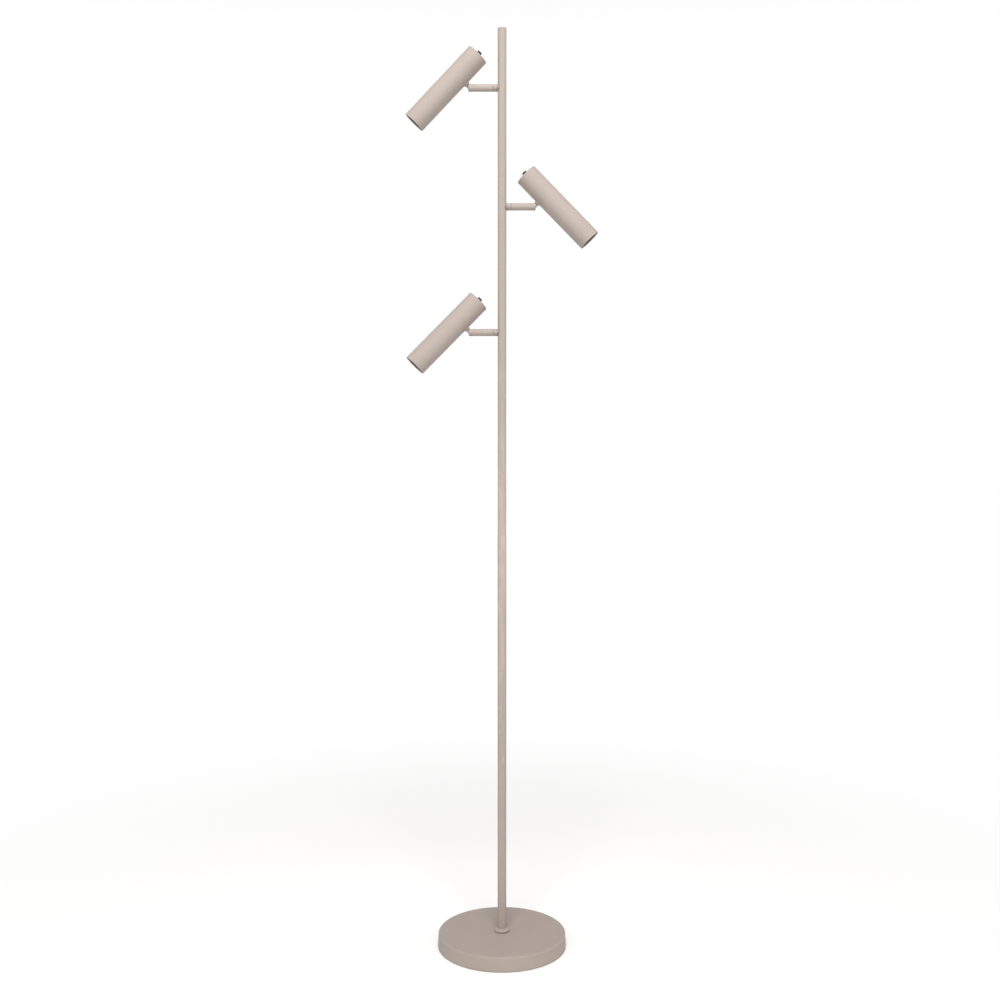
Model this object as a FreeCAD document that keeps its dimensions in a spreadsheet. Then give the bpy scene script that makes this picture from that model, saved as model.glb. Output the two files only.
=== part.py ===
import FreeCAD, Part
import math
import os

import Sketcher

# Tree floor lamp with three spot heads, in millimetres.
# The lamp stands on z = 0, the pole is on the Z axis and the front is towards -Y.

Vector = FreeCAD.Vector
document = FreeCAD.newDocument("tree_floor_lamp")
sizes = document.addObject("Spreadsheet::Sheet", "sizes")

# Driving dimensions: one cell each, lengths in millimetres and angles in degrees.
driving = {
    # Base
    "base_dia": 229, "base_height": 26.8, "base_draft": 1, "base_shoulder": 3.7,
    "cover_wall": 1.5, "cover_lift": 1, "pad_thickness": 2, "pad_gap": 1.5,
    "weight_gap": 4.5, "weight_edge": 2, "foot_pocket_dia": 44, "foot_pocket_depth": 12,
    "channel_width": 14, "channel_room": 1,
    # Cord inlet in the rear wall of the base
    "cord_hole_dia": 7, "grommet_height": 9.5, "grommet_body_dia": 10, "grommet_flange_dia": 12.4,
    "grommet_flange": 1, "grommet_lip": 2, "grommet_slack": 0.45,
    # Collar at the foot of the pole
    "collar_dia": 27, "collar_height": 6.3, "collar_rim": 2.6, "collar_foot": 1.9, "collar_gap": 0.15,
    # Pole
    "lamp_height": 1609, "joint_height": 740, "lower_dia": 15.5, "upper_dia": 15, "pole_bore": 12.6,
    "tube_chamfer": 0.4, "coupler_length": 60, "lead_bore": 7, "lead_dia": 5,
    "cap_thickness": 2, "cap_spigot": 12, "cap_round": 0.5,
    "foot_length": 30, "foot_thread": 10, "thread_gap": 0.25, "thread_end": 1,
    "foot_nut_flats": 17, "foot_nut_height": 8, "foot_nut_flange_dia": 26, "foot_nut_flange": 2,
    # Arms
    "arm_dia": 12.5, "arm_chamfer": 0.3, "boss_length": 7.5, "washer_dia": 11.6, "washer_thickness": 0.6,
    "nipple_dia": 7, "nipple_bore": 4.5, "nipple_reach": 1.7, "running_fit": 0.05, "face_gap": 0.15,
    "sleeve_length": 34.45, "sleeve_bore": 10.5, "sleeve_web": 7, "nut_thickness": 3, "nut_gap": 0.35,
    "knuckle_length": 7.6, "knuckle_round": 1.5, "knuckle_spigot": 9, "pin_inset": 4.1,
    "tongue_width": 7.4, "tongue_thickness": 4, "tongue_side_gap": 0.1, "tongue_end_gap": 0.3,
    "screw_dia": 3, "screw_head_dia": 5, "screw_head_height": 1.8, "screw_sink": 0.95,
    "screw_head_gap": 0.2, "screw_wall": 1, "screw_key": 2, "screw_key_depth": 1.1,
    # Stem between arm and head
    "neck_start": 7, "neck_dia": 9, "neck_foot_dia": 12, "head_gap": 9.4, "stem_setback": 49,
    "stem_thread": 8, "stem_end": 5, "stem_bore": 4, "stem_nut_flats": 13, "stem_nut_height": 4,
    # Heads
    "head_dia": 40, "head_length": 158, "shell_wall": 1.2, "rim_chamfer": 0.3,
    "rear_recess": 0.6, "rear_thickness": 3, "rear_chamfer": 0.4,
    # Switch on the rear cap
    "bush_dia": 7, "bush_reach": 3.5, "bush_chamfer": 0.3, "switch_dia": 14, "switch_length": 18,
    "switch_nut_flats": 10, "switch_nut_height": 1.2, "button_dia": 8.6, "button_height": 3,
    "button_round": 0.8, "button_travel": 1.2, "button_overlap": 0.2, "button_room": 0.4,
    "skirt_gap": 0.3, "stalk_dia": 3.6, "stalk_length": 8, "tab_width": 4.8, "tab_pitch": 7,
    "tab_thickness": 0.8, "tab_length": 6,
    # Lamp, its holder and the baffle
    "baffle_recess": 2.5, "baffle_length": 24, "baffle_wall": 1, "baffle_lip": 3.3, "lip_thickness": 1.5,
    "lens_thickness": 2, "lens_rim": 1.2, "lamp_gap": 1.3, "lamp_length": 45, "lamp_wall": 1.2,
    "lamp_neck_dia": 22, "lamp_neck_length": 14, "lamp_rim_length": 4, "reflector_depth": 24,
    "pin_dia": 4.7, "pin_pitch": 10, "pin_length": 6, "pin_gap": 0.35,
    "socket_dia": 26, "socket_length": 22, "socket_flange": 2.5, "socket_step": 4, "wire_notch_dia": 6,
}
# Each arm, from the top down: its drop below the pole's top or below the arm above, the side
# it points to, its rest swivel, its rest tilt below the horizontal, and the half turn that
# puts the pivot screw's head at the back.
arms = {
    "top": {"drop": 100, "heading": 180, "swivel": -1, "tilt": 46, "screw_turn": 180},
    "middle": {"drop": 200.5, "heading": 0, "swivel": -5, "tilt": 46, "screw_turn": 0},
    "low": {"drop": 215, "heading": 180, "swivel": 9.5, "tilt": 46, "screw_turn": 180},
}
for arm_name, arm_values in arms.items():
    for key, number in arm_values.items():
        driving[f"arm_{key}_{arm_name}"] = number

# Sizes worked out from the driving ones, as cell formulas.
derived = {
    "arm_height_top": "lamp_height - arm_drop_top",
    "arm_height_middle": "arm_height_top - arm_drop_middle",
    "arm_height_low": "arm_height_middle - arm_drop_low",
    "base_radius": "base_dia / 2",
    "top_radius": "base_radius - base_draft",
    "cover_top_in": "base_height - cover_wall",
    "shoulder_radius": "top_radius - base_shoulder",
    "shoulder_height": "base_height - base_shoulder",
    "wall_radius": "base_radius - base_draft * (grommet_height - cover_lift) / (shoulder_height - cover_lift)",
    "pad_radius": "base_radius - cover_wall - pad_gap",
    "weight_radius": "shoulder_radius - weight_gap",
    "pocket_top": "pad_thickness + foot_pocket_depth",
    "channel_top": "grommet_height + cord_hole_dia / 2 + channel_room",
    "thread_radius": "foot_thread / 2",
    "foot_bottom": "pocket_top - foot_nut_height - thread_end",
    "bore_radius": "pole_bore / 2",
    "lead_bore_radius": "lead_bore / 2",
    "lower_radius": "lower_dia / 2",
    "upper_radius": "upper_dia / 2",
    "arm_radius": "arm_dia / 2",
    "nipple_radius": "nipple_dia / 2",
    "nipple_start": "bore_radius - nipple_reach",
    "boss_end": "upper_radius + boss_length",
    "sleeve_start": "boss_end + washer_thickness + face_gap",
    "sleeve_end": "sleeve_start + sleeve_length",
    "web_end": "sleeve_start + sleeve_web",
    "nut_start": "web_end + tongue_end_gap",
    "nut_end": "nut_start + nut_thickness",
    "sleeve_bore_radius": "sleeve_bore / 2",
    "knuckle_end": "sleeve_end + knuckle_length",
    "pin_reach": "sleeve_end + pin_inset",
    "slot_bottom": "pin_reach - tongue_width / 2 - tongue_end_gap",
    "slot_width": "tongue_thickness + 2 * tongue_side_gap",
    "screw_tip": "arm_radius - screw_wall",
    "screw_top": "arm_radius - screw_sink",
    "screw_seat": "screw_top - screw_head_height",
    "head_radius": "head_dia / 2",
    "shell_in": "head_radius - shell_wall",
    "stem_offset": "head_gap + head_radius",
    "stem_top": "head_gap + shell_wall + stem_end",
    "rear_face": "rear_recess",
    "rear_back": "rear_recess + rear_thickness",
    "bush_radius": "bush_dia / 2",
    "bush_tip": "rear_recess - bush_reach",
    "stalk_radius": "stalk_dia / 2",
    "button_skirt": "bush_tip + button_overlap",
    "button_tip": "button_skirt - button_height",
    "button_roof": "bush_tip - button_travel - button_room",
    "skirt_in": "bush_radius + skirt_gap",
    "stalk_end": "button_roof + stalk_length",
    "bush_bottom": "stalk_end + button_travel + button_room",
    "switch_back": "rear_back + switch_length",
    "lens_front": "head_length - baffle_recess - baffle_length",
    "lens_back": "lens_front - lens_thickness",
    "lamp_back": "lens_back - lamp_length",
    "lamp_radius": "shell_in - lamp_gap",
    "socket_back": "lamp_back - socket_length",
    "flange_front": "lamp_back - socket_step",
}

row = 0
for alias, number in driving.items():
    row += 1
    sizes.set(f"A{row}", alias)
    sizes.set(f"B{row}", str(number))
    sizes.setAlias(f"B{row}", alias)
for alias, formula in derived.items():
    row += 1
    sizes.set(f"A{row}", alias)
    sizes.set(f"B{row}", "=" + formula)
    sizes.setAlias(f"B{row}", alias)
document.recompute()

KNOWN = set(driving) | set(derived)
nodes = []


def bound(formula):
    """The formula with each size's name pointing at its cell."""
    spaced = formula.replace("(", "( ").replace(")", " )")
    words = [f"sizes.{word}" if word in KNOWN else word for word in spaced.split(" ")]
    return " ".join(words).replace("( ", "(").replace(" )", ")")


def bind(item, prop, formula):
    item.setExpression(prop, bound(formula))


def value(formula):
    return float(origin_frame.evalExpression(bound(formula)))


def keep(item, label):
    """Marks an object as one finished piece, written under its label."""
    item.Label = label
    nodes.append(item)
    return item


# Frames that the pieces are placed in.
origin_frame = document.addObject("Part::LocalCoordinateSystem", "origin_frame")


def turn(x, y, z, angle):
    return f"create(<<rotation>>; create(<<vector>>; {x}; {y}; {z}); {angle})"


def shift(x, y, z, rotation=None):
    rotation = rotation or turn(0, 0, 1, 0)
    return f"create(<<placement>>; create(<<vector>>; {x}; {y}; {z}); {rotation})"


def frame(name, *steps):
    """A local coordinate system at the end of a chain of placements."""
    item = document.addObject("Part::LocalCoordinateSystem", name)
    item.setExpression("Placement", " * ".join(steps))
    return f"{item.Name}.Placement"


def place(item, *steps):
    item.setExpression("Placement", " * ".join(steps))


# Sketches and features.
def new_sketch(body, name, plane, offset=None):
    sketch = body.newObject("Sketcher::SketchObject", name)
    support = next(item for item in body.Origin.OriginFeatures if item.Role == plane)
    sketch.AttachmentSupport = [(support, "")]
    sketch.MapMode = "FlatFace"
    if offset:
        bind(sketch, "AttachmentOffset.Base.z", offset)
    return sketch


def pin_point(sketch, geometry, vertex, x, y):
    """Fixes a sketch point at two formulas, each 0 or a bound distance from the origin."""
    for kind, axis, formula in (("DistanceX", -2, x), ("DistanceY", -1, y)):
        if formula == "0":
            sketch.addConstraint(Sketcher.Constraint("PointOnObject", geometry, vertex, axis))
        elif formula:
            index = sketch.addConstraint(
                Sketcher.Constraint(kind, -1, 1, geometry, vertex, value(formula)))
            bind(sketch, f"Constraints[{index}]", formula)


def draw_outline(sketch, corners):
    """Closed outline. A corner is (x, y) reached by a line, or (x, y, centre x, centre y,
    way) reached by an arc that runs ccw or cw round its centre."""
    points = [(value(corner[0]), value(corner[1])) for corner in corners]
    first = sketch.GeometryCount
    ends = []
    for index, corner in enumerate(corners):
        start, end = points[index - 1], points[index]
        if len(corner) == 2:
            sketch.addGeometry(Part.LineSegment(Vector(*start, 0), Vector(*end, 0)))
            ends.append((1, 2))
        else:
            centre = (value(corner[2]), value(corner[3]))
            angles = [math.atan2(p[1] - centre[1], p[0] - centre[0]) for p in (start, end)]
            if corner[4] == "cw":
                angles.reverse()
            if angles[1] < angles[0]:
                angles[1] += 2 * math.pi
            circle = Part.Circle(Vector(*centre, 0), Vector(0, 0, 1), math.dist(centre, start))
            sketch.addGeometry(Part.ArcOfCircle(circle, *angles))
            ends.append((1, 2) if corner[4] == "ccw" else (2, 1))
    count = len(corners)
    for index in range(count):
        following = (index + 1) % count
        sketch.addConstraint(Sketcher.Constraint(
            "Coincident", first + index, ends[index][1], first + following, ends[following][0]))
    for index, corner in enumerate(corners):
        pin_point(sketch, first + index, ends[index][1], corner[0], corner[1])
        if len(corner) > 2:
            start, end = points[index - 1], points[index]
            flat = abs(end[0] - start[0]) >= abs(end[1] - start[1])
            pin_point(sketch, first + index, 3, None if flat else corner[2], corner[3] if flat else None)


def draw_circle(sketch, x, y, radius):
    index = sketch.addGeometry(
        Part.Circle(Vector(value(x), value(y), 0), Vector(0, 0, 1), value(radius)))
    size = sketch.addConstraint(Sketcher.Constraint("Radius", index, value(radius)))
    bind(sketch, f"Constraints[{size}]", radius)
    pin_point(sketch, index, 3, x, y)


def box_corners(x0, x1, y0, y1):
    return [(x1, y0), (x1, y1), (x0, y1), (x0, y0)]


def new_body(name):
    return document.addObject("PartDesign::Body", name)


def add_turned(body, name, corners):
    """Turns an outline of (radius, height) corners about the body's Z axis."""
    sketch = new_sketch(body, name + "_outline", "XZ_Plane")
    draw_outline(sketch, corners)
    feature = body.newObject("PartDesign::Revolution", name + "_turn")
    feature.Profile = sketch
    feature.ReferenceAxis = (sketch, ["V_Axis"])
    feature.Angle = 360
    return feature


def turned(name, corners):
    body = new_body(name)
    add_turned(body, name, corners)
    return body


def add_cut(body, sketch, name, length=None, both_ways=False, reverse=False):
    """Pocket of a sketch: through everything, or as deep as the formula says."""
    feature = body.newObject("PartDesign::Pocket", name)
    feature.Profile = sketch
    feature.Type = "Length" if length else "ThroughAll"
    if length:
        bind(feature, "Length", length)
    if both_ways:
        feature.SideType = "Symmetric"
    feature.Reversed = reverse
    return feature


def add_pad(body, sketch, name, length, both_ways=False):
    feature = body.newObject("PartDesign::Pad", name)
    feature.Profile = sketch
    bind(feature, "Length", length)
    if both_ways:
        feature.SideType = "Symmetric"
    return feature


def primitive(kind, name, **formulas):
    item = document.addObject(kind, name)
    for prop, formula in formulas.items():
        bind(item, prop, formula)
    return item


def cut(name, base, tool):
    item = document.addObject("Part::Cut", name)
    item.Base, item.Tool = base, tool
    return item


def group(name, items):
    """Identical pieces that share one node as separate solids."""
    item = document.addObject("Part::Compound", name)
    item.Links = items
    return keep(item, name)


def ring(name, inner, outer, height):
    """Flat ring from z = 0 up, with its inner and outer radius."""
    disc = primitive("Part::Cylinder", name + "_disc", Radius=outer, Height=height)
    hole = primitive("Part::Cylinder", name + "_hole", Radius=inner, Height=height)
    return cut(name, disc, hole)


def hexagon(name, flats, height):
    """Hexagonal prism whose far corners are chamfered at 30 degrees."""
    block = document.addObject("Part::Prism", name + "_block")
    block.Polygon = 6
    bind(block, "Circumradius", f"{flats} / 2 / cos(30)")
    bind(block, "Height", height)
    trim = primitive("Part::Cone", name + "_trim", Radius1=f"{flats} / 2 * 0.97 + {height} / tan(30)",
                     Radius2=f"{flats} / 2 * 0.97", Height=height)
    item = document.addObject("Part::Common", name + "_hexagon")
    item.Base, item.Tool = block, trim
    return item


# Base.
def make_base_cover():
    """Drawn cover: top face, shoulder arc and a wall with a little draft."""
    body = turned("cover", [
        ("thread_radius + thread_gap", "cover_top_in"),
        ("thread_radius + thread_gap", "base_height"),
        ("shoulder_radius", "base_height"),
        ("top_radius", "shoulder_height", "shoulder_radius", "shoulder_height", "cw"),
        ("base_radius", "cover_lift"),
        ("base_radius - cover_wall", "cover_lift"),
        ("top_radius - cover_wall", "shoulder_height"),
        ("shoulder_radius", "cover_top_in", "shoulder_radius", "shoulder_height", "ccw"),
    ])
    sketch = new_sketch(body, "cover_cord_circle", "XZ_Plane")
    draw_circle(sketch, "0", "grommet_height", "grommet_body_dia / 2")
    add_cut(body, sketch, "cover_cord_hole")
    return keep(body, "base_cover")


def make_base_weight():
    """Cast disc with a nut pocket and a cord channel in its underside."""
    body = turned("weight", [
        ("thread_radius + thread_gap", "pocket_top"),
        ("thread_radius + thread_gap", "cover_top_in"),
        ("weight_radius - weight_edge", "cover_top_in"),
        ("weight_radius", "cover_top_in - weight_edge"),
        ("weight_radius", "pad_thickness"),
        ("foot_pocket_dia / 2", "pad_thickness"),
        ("foot_pocket_dia / 2", "pocket_top"),
    ])
    sketch = new_sketch(body, "weight_channel_outline", "XY_Plane", "pad_thickness")
    half = "channel_width / 2"
    draw_outline(sketch, box_corners("0 - " + half, half, "thread_radius + thread_gap + 1", "base_radius"))
    add_cut(body, sketch, "weight_channel", length="channel_top - pad_thickness", reverse=True)
    return keep(body, "base_weight")


def make_base_pad():
    body = turned("pad", [
        ("0", "0"),
        ("pad_radius", "0"),
        ("pad_radius", "pad_thickness"),
        ("0", "pad_thickness"),
    ])
    return keep(body, "base_pad")


def make_cord_grommet():
    """Rubber inlet: a groove holds the cover's wall between flange and lip."""
    body = turned("grommet", [
        ("cord_hole_dia / 2", "0 - cover_wall - grommet_slack - grommet_lip"),
        ("grommet_flange_dia / 2", "0 - cover_wall - grommet_slack - grommet_lip"),
        ("grommet_flange_dia / 2", "0 - cover_wall - grommet_slack"),
        ("grommet_body_dia / 2", "0 - cover_wall - grommet_slack"),
        ("grommet_body_dia / 2", "grommet_slack"),
        ("grommet_flange_dia / 2", "grommet_slack"),
        ("grommet_flange_dia / 2", "grommet_slack + grommet_flange"),
        ("cord_hole_dia / 2", "grommet_slack + grommet_flange"),
    ])
    place(body, shift(0, "sizes.wall_radius", "sizes.grommet_height", turn(1, 0, 0, -90)))
    return keep(body, "cord_grommet")


# Pole.
def make_collar():
    """Low ring: an undercut foot, a short rim and a dome that rises to the pole."""
    inner = "lower_radius + collar_gap"
    width = "(collar_dia / 2 - lower_radius - collar_gap)"
    rise = "(collar_height - collar_rim)"
    dome = f"({width} * {width} + {rise} * {rise}) / 2 / {rise}"
    body = turned("collar", [
        (inner, "base_height"),
        ("collar_dia / 2 - collar_foot", "base_height"),
        ("collar_dia / 2", "base_height + collar_foot"),
        ("collar_dia / 2", "base_height + collar_rim"),
        (inner, "base_height + collar_height", inner, f"base_height + collar_height - {dome}", "ccw"),
    ])
    return keep(body, "pole_collar")


def make_pole_foot():
    """Foot piece: a plug in the lower tube and a hollow thread through the base."""
    body = turned("foot", [
        ("lead_bore_radius", "foot_bottom"),
        ("thread_radius", "foot_bottom"),
        ("thread_radius", "base_height"),
        ("bore_radius", "base_height"),
        ("bore_radius", "base_height + foot_length"),
        ("lead_bore_radius", "base_height + foot_length"),
    ])
    return keep(body, "pole_foot")


def make_foot_nut():
    """Flanged nut: the flange faces up against the weight."""
    block = hexagon("foot_nut", "foot_nut_flats", "foot_nut_height")
    flange = primitive("Part::Cylinder", "foot_nut_flange", Radius="foot_nut_flange_dia / 2",
                       Height="foot_nut_flange")
    solid = document.addObject("Part::Fuse", "foot_nut_solid")
    solid.Base, solid.Tool = block, flange
    hole = primitive("Part::Cylinder", "foot_nut_hole", Radius="thread_radius", Height="foot_nut_height")
    nut = cut("foot_nut", solid, hole)
    place(nut, shift(0, 0, "sizes.pocket_top", turn(1, 0, 0, 180)))
    return keep(nut, "foot_nut")


def tube_corners(radius, bottom, top):
    """Tube wall whose outer edges have a fine chamfer."""
    return [
        ("bore_radius", bottom),
        (f"{radius} - tube_chamfer", bottom),
        (radius, f"{bottom} + tube_chamfer"),
        (radius, f"{top} - tube_chamfer"),
        (f"{radius} - tube_chamfer", top),
        ("bore_radius", top),
    ]


def make_pole():
    lower = turned("lower", tube_corners("lower_radius", "base_height", "joint_height"))
    keep(lower, "pole_lower")
    coupler = turned("coupler", [
        ("lead_bore_radius", "joint_height - coupler_length / 2"),
        ("bore_radius", "joint_height - coupler_length / 2"),
        ("bore_radius", "joint_height + coupler_length / 2"),
        ("lead_bore_radius", "joint_height + coupler_length / 2"),
    ])
    keep(coupler, "pole_coupler")
    upper = turned("upper", tube_corners("upper_radius", "joint_height", "lamp_height - cap_thickness"))
    for name in arms:
        sketch = new_sketch(upper, f"upper_circle_{name}", "YZ_Plane")
        draw_circle(sketch, "0", f"arm_height_{name}", "nipple_radius")
        points_left = arms[name]["heading"] == 180
        add_cut(upper, sketch, f"upper_hole_{name}", reverse=not points_left)
    keep(upper, "pole_upper")
    cap = turned("cap", [
        ("0", "lamp_height - cap_thickness - cap_spigot"),
        ("bore_radius", "lamp_height - cap_thickness - cap_spigot"),
        ("bore_radius", "lamp_height - cap_thickness"),
        ("upper_radius", "lamp_height - cap_thickness"),
        ("upper_radius", "lamp_height - cap_round"),
        ("upper_radius - cap_round", "lamp_height",
         "upper_radius - cap_round", "lamp_height - cap_round", "ccw"),
        ("0", "lamp_height"),
    ])
    keep(cap, "pole_cap")
    lead = primitive("Part::Cylinder", "harness", Radius="lead_dia / 2",
                     Height="arm_height_top - foot_bottom")
    place(lead, shift(0, 0, "sizes.foot_bottom"))
    keep(lead, "pole_harness")


# Arms. The arm frame has its origin on the pole's axis, Z outwards along the arm, X down.
def make_arm_frames(name):
    fixed = frame(f"arm_frame_{name}", shift(
        0, 0, f"sizes.arm_height_{name}",
        f"{turn(0, 0, 1, f'sizes.arm_heading_{name}')} * {turn(0, 1, 0, 90)}"))
    swung = frame(f"swivel_frame_{name}", fixed, shift(0, 0, 0, turn(0, 0, 1, f"sizes.arm_swivel_{name}")))
    pivot = frame(f"pivot_frame_{name}", swung, shift(
        0, 0, "sizes.pin_reach", turn(0, 1, 0, f"sizes.arm_tilt_{name}")))
    # The stem frame has Z from the pivot to the head's axis and X towards the head's mouth.
    stem = frame(f"stem_frame_{name}", pivot, shift(0, 0, 0, turn(0, 1, 0, -90)))
    # The head frame has its origin at the middle of the rear end and Z towards the mouth.
    head = frame(f"head_frame_{name}", pivot, shift(
        "0 - sizes.stem_offset", 0, "0 - sizes.stem_setback"))
    return {"fixed": fixed, "swung": swung, "stem": stem, "head": head}


def make_arm_boss(name, frames):
    """Boss whose inner end is a saddle that fits the pole."""
    body = turned(f"boss_{name}", [
        ("nipple_radius", "0"),
        ("arm_radius", "0"),
        ("arm_radius", "boss_end - arm_chamfer"),
        ("arm_radius - arm_chamfer", "boss_end"),
        ("nipple_radius", "boss_end"),
    ])
    sketch = new_sketch(body, f"boss_saddle_circle_{name}", "YZ_Plane")
    draw_circle(sketch, "0", "0", "upper_radius")
    add_cut(body, sketch, f"boss_saddle_{name}", both_ways=True)
    place(body, frames["fixed"])
    return keep(body, f"arm_boss_{name}")


def make_swivel_parts(name, frames):
    """Hollow pivot, friction washer and retaining nut of one arm."""
    nipple = ring(f"nipple_{name}", "nipple_bore / 2", "nipple_radius", "nut_end + thread_end - nipple_start")
    place(nipple, frames["fixed"], shift(0, 0, "sizes.nipple_start"))
    washer = ring(f"washer_{name}", "nipple_radius", "washer_dia / 2", "washer_thickness")
    place(washer, frames["fixed"], shift(0, 0, "sizes.boss_end"))
    nut = ring(f"retaining_nut_{name}", "nipple_radius", "sleeve_bore_radius - nut_gap", "nut_thickness")
    place(nut, frames["fixed"], shift(0, 0, "sizes.nut_start"))
    return nipple, washer, nut


def make_arm_sleeve(name, frames):
    """Outer tube of the arm, with an inner web that runs on the nipple."""
    body = turned(f"sleeve_{name}", [
        ("nipple_radius + running_fit", "sleeve_start"),
        ("arm_radius - arm_chamfer", "sleeve_start"),
        ("arm_radius", "sleeve_start + arm_chamfer"),
        ("arm_radius", "sleeve_end - arm_chamfer"),
        ("arm_radius - arm_chamfer", "sleeve_end"),
        ("sleeve_bore_radius", "sleeve_end"),
        ("sleeve_bore_radius", "web_end"),
        ("nipple_radius + running_fit", "web_end"),
    ])
    place(body, frames["swung"])
    return keep(body, f"arm_sleeve_{name}")


def make_arm_knuckle(name, frames):
    """Fork: a spigot in the sleeve, two rounded cheeks, and the pivot screw's holes."""
    body = turned(f"knuckle_{name}", [
        ("nipple_bore / 2", "sleeve_end - knuckle_spigot"),
        ("sleeve_bore_radius", "sleeve_end - knuckle_spigot"),
        ("sleeve_bore_radius", "sleeve_end"),
        ("arm_radius - arm_chamfer", "sleeve_end"),
        ("arm_radius", "sleeve_end + arm_chamfer"),
        ("arm_radius", "knuckle_end - knuckle_round"),
        ("arm_radius - knuckle_round", "knuckle_end",
         "arm_radius - knuckle_round", "knuckle_end - knuckle_round", "ccw"),
        ("0", "knuckle_end"),
        ("0", "slot_bottom + 1"),
        ("nipple_bore / 2", "slot_bottom + 1"),
    ])
    slot = new_sketch(body, f"knuckle_slot_outline_{name}", "YZ_Plane")
    half = "slot_width / 2"
    draw_outline(slot, box_corners("0 - " + half, half, "slot_bottom", "knuckle_end + 1"))
    add_cut(body, slot, f"knuckle_slot_{name}", both_ways=True)
    shank = new_sketch(body, f"knuckle_shank_circle_{name}", "XZ_Plane", "screw_tip")
    draw_circle(shank, "0", "pin_reach", "screw_dia / 2")
    add_cut(body, shank, f"knuckle_shank_{name}")
    seat = new_sketch(body, f"knuckle_seat_circle_{name}", "XZ_Plane", "0 - screw_seat")
    draw_circle(seat, "0", "pin_reach", "screw_head_dia / 2 + screw_head_gap")
    add_cut(body, seat, f"knuckle_seat_{name}")
    place(body, frames["swung"], shift(0, 0, 0, turn(0, 0, 1, f"sizes.arm_screw_turn_{name}")))
    return keep(body, f"arm_knuckle_{name}")


def make_tilt_screw(name, frames):
    """Socket-head screw across the fork; the tongue turns on its shank."""
    head = "screw_head_dia / 2"
    body = turned(f"screw_{name}", [
        ("0", "thread_gap - screw_tip"),
        ("screw_dia / 2", "thread_gap - screw_tip"),
        ("screw_dia / 2", "screw_seat"),
        (head, "screw_seat"),
        (head, "screw_top - arm_chamfer"),
        (f"{head} - arm_chamfer", "screw_top"),
        ("0", "screw_top"),
    ])
    sketch = new_sketch(body, f"screw_key_outline_{name}", "XY_Plane", "screw_top")
    corner = "screw_key / 2 / cos(30)"
    draw_outline(sketch, [
        (f"{corner} * {round(math.cos(math.radians(angle)), 9)}",
         f"{corner} * {round(math.sin(math.radians(angle)), 9)}")
        for angle in range(30, 390, 60)])
    add_cut(body, sketch, f"screw_key_{name}", length="screw_key_depth")
    place(body, frames["swung"], shift(0, 0, "sizes.pin_reach"),
          shift(0, 0, 0, turn(0, 0, 1, f"sizes.arm_screw_turn_{name}")),
          shift(0, 0, 0, turn(1, 0, 0, -90)))
    return keep(body, f"tilt_screw_{name}")


# Heads.
def make_head_stem(name, frames):
    """Flat tongue round the pivot, a flared neck with a saddle, and a hollow thread."""
    body = new_body(f"stem_{name}")
    eye = new_sketch(body, f"stem_tongue_outline_{name}", "XZ_Plane")
    half = "tongue_width / 2"
    draw_outline(eye, [
        ("0 - " + half, "neck_start"),
        ("0 - " + half, "0"),
        (half, "0", "0", "0", "ccw"),
        (half, "neck_start"),
    ])
    add_pad(body, eye, f"stem_tongue_{name}", "tongue_thickness", both_ways=True)
    add_turned(body, f"stem_neck_{name}", [
        ("0", "neck_start"),
        ("neck_dia / 2", "neck_start"),
        ("neck_foot_dia / 2", "head_gap"),
        ("neck_foot_dia / 2", "head_gap + shell_wall"),
        ("0", "head_gap + shell_wall"),
    ])
    saddle = new_sketch(body, f"stem_saddle_circle_{name}", "YZ_Plane")
    draw_circle(saddle, "0", "stem_offset", "head_radius")
    add_cut(body, saddle, f"stem_saddle_{name}", both_ways=True)
    add_turned(body, f"stem_thread_{name}", [
        ("0", "neck_start"),
        ("stem_thread / 2", "neck_start"),
        ("stem_thread / 2", "stem_top"),
        ("0", "stem_top"),
    ])
    bore = new_sketch(body, f"stem_bore_circle_{name}", "XY_Plane", "stem_top")
    draw_circle(bore, "0", "0", "stem_bore / 2")
    add_cut(body, bore, f"stem_bore_{name}", length="stem_top - neck_start - 1")
    hole = new_sketch(body, f"stem_pivot_circle_{name}", "XZ_Plane")
    draw_circle(hole, "0", "0", "screw_dia / 2 + running_fit")
    add_cut(body, hole, f"stem_pivot_{name}", both_ways=True)
    place(body, frames["stem"])
    return keep(body, f"head_stem_{name}")


def make_stem_nut(name, frames):
    """Nut inside the shell, with a saddle face that fits the tube's inner wall."""
    block = hexagon(f"stem_nut_{name}", "stem_nut_flats", "stem_nut_height")
    hole = primitive("Part::Cylinder", f"stem_nut_hole_{name}", Radius="stem_thread / 2",
                     Height="stem_nut_height")
    plain = cut(f"stem_nut_plain_{name}", block, hole)
    tube = primitive("Part::Cylinder", f"stem_nut_tube_{name}", Radius="shell_in",
                     Height="2 * stem_nut_flats")
    place(tube, shift("0 - sizes.stem_nut_flats", 0, "sizes.shell_in", turn(0, 1, 0, 90)))
    nut = document.addObject("Part::Common", f"stem_nut_{name}")
    nut.Base, nut.Tool = plain, tube
    place(nut, frames["stem"], shift(0, 0, "sizes.head_gap + sizes.shell_wall"))
    return keep(nut, f"stem_nut_{name}")


def make_head_shell(name, frames):
    """Straight tube, open at both ends, with the stem's hole in its lower side."""
    body = turned(f"shell_{name}", [
        ("shell_in", "0"),
        ("head_radius - rim_chamfer", "0"),
        ("head_radius", "rim_chamfer"),
        ("head_radius", "head_length - rim_chamfer"),
        ("head_radius - rim_chamfer", "head_length"),
        ("shell_in + rim_chamfer", "head_length"),
        ("shell_in", "head_length - rim_chamfer"),
    ])
    sketch = new_sketch(body, f"shell_stem_circle_{name}", "YZ_Plane")
    draw_circle(sketch, "0", "stem_setback", "stem_thread / 2")
    add_cut(body, sketch, f"shell_stem_hole_{name}", reverse=True)
    place(body, frames["head"])
    return keep(body, f"head_shell_{name}")


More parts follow.
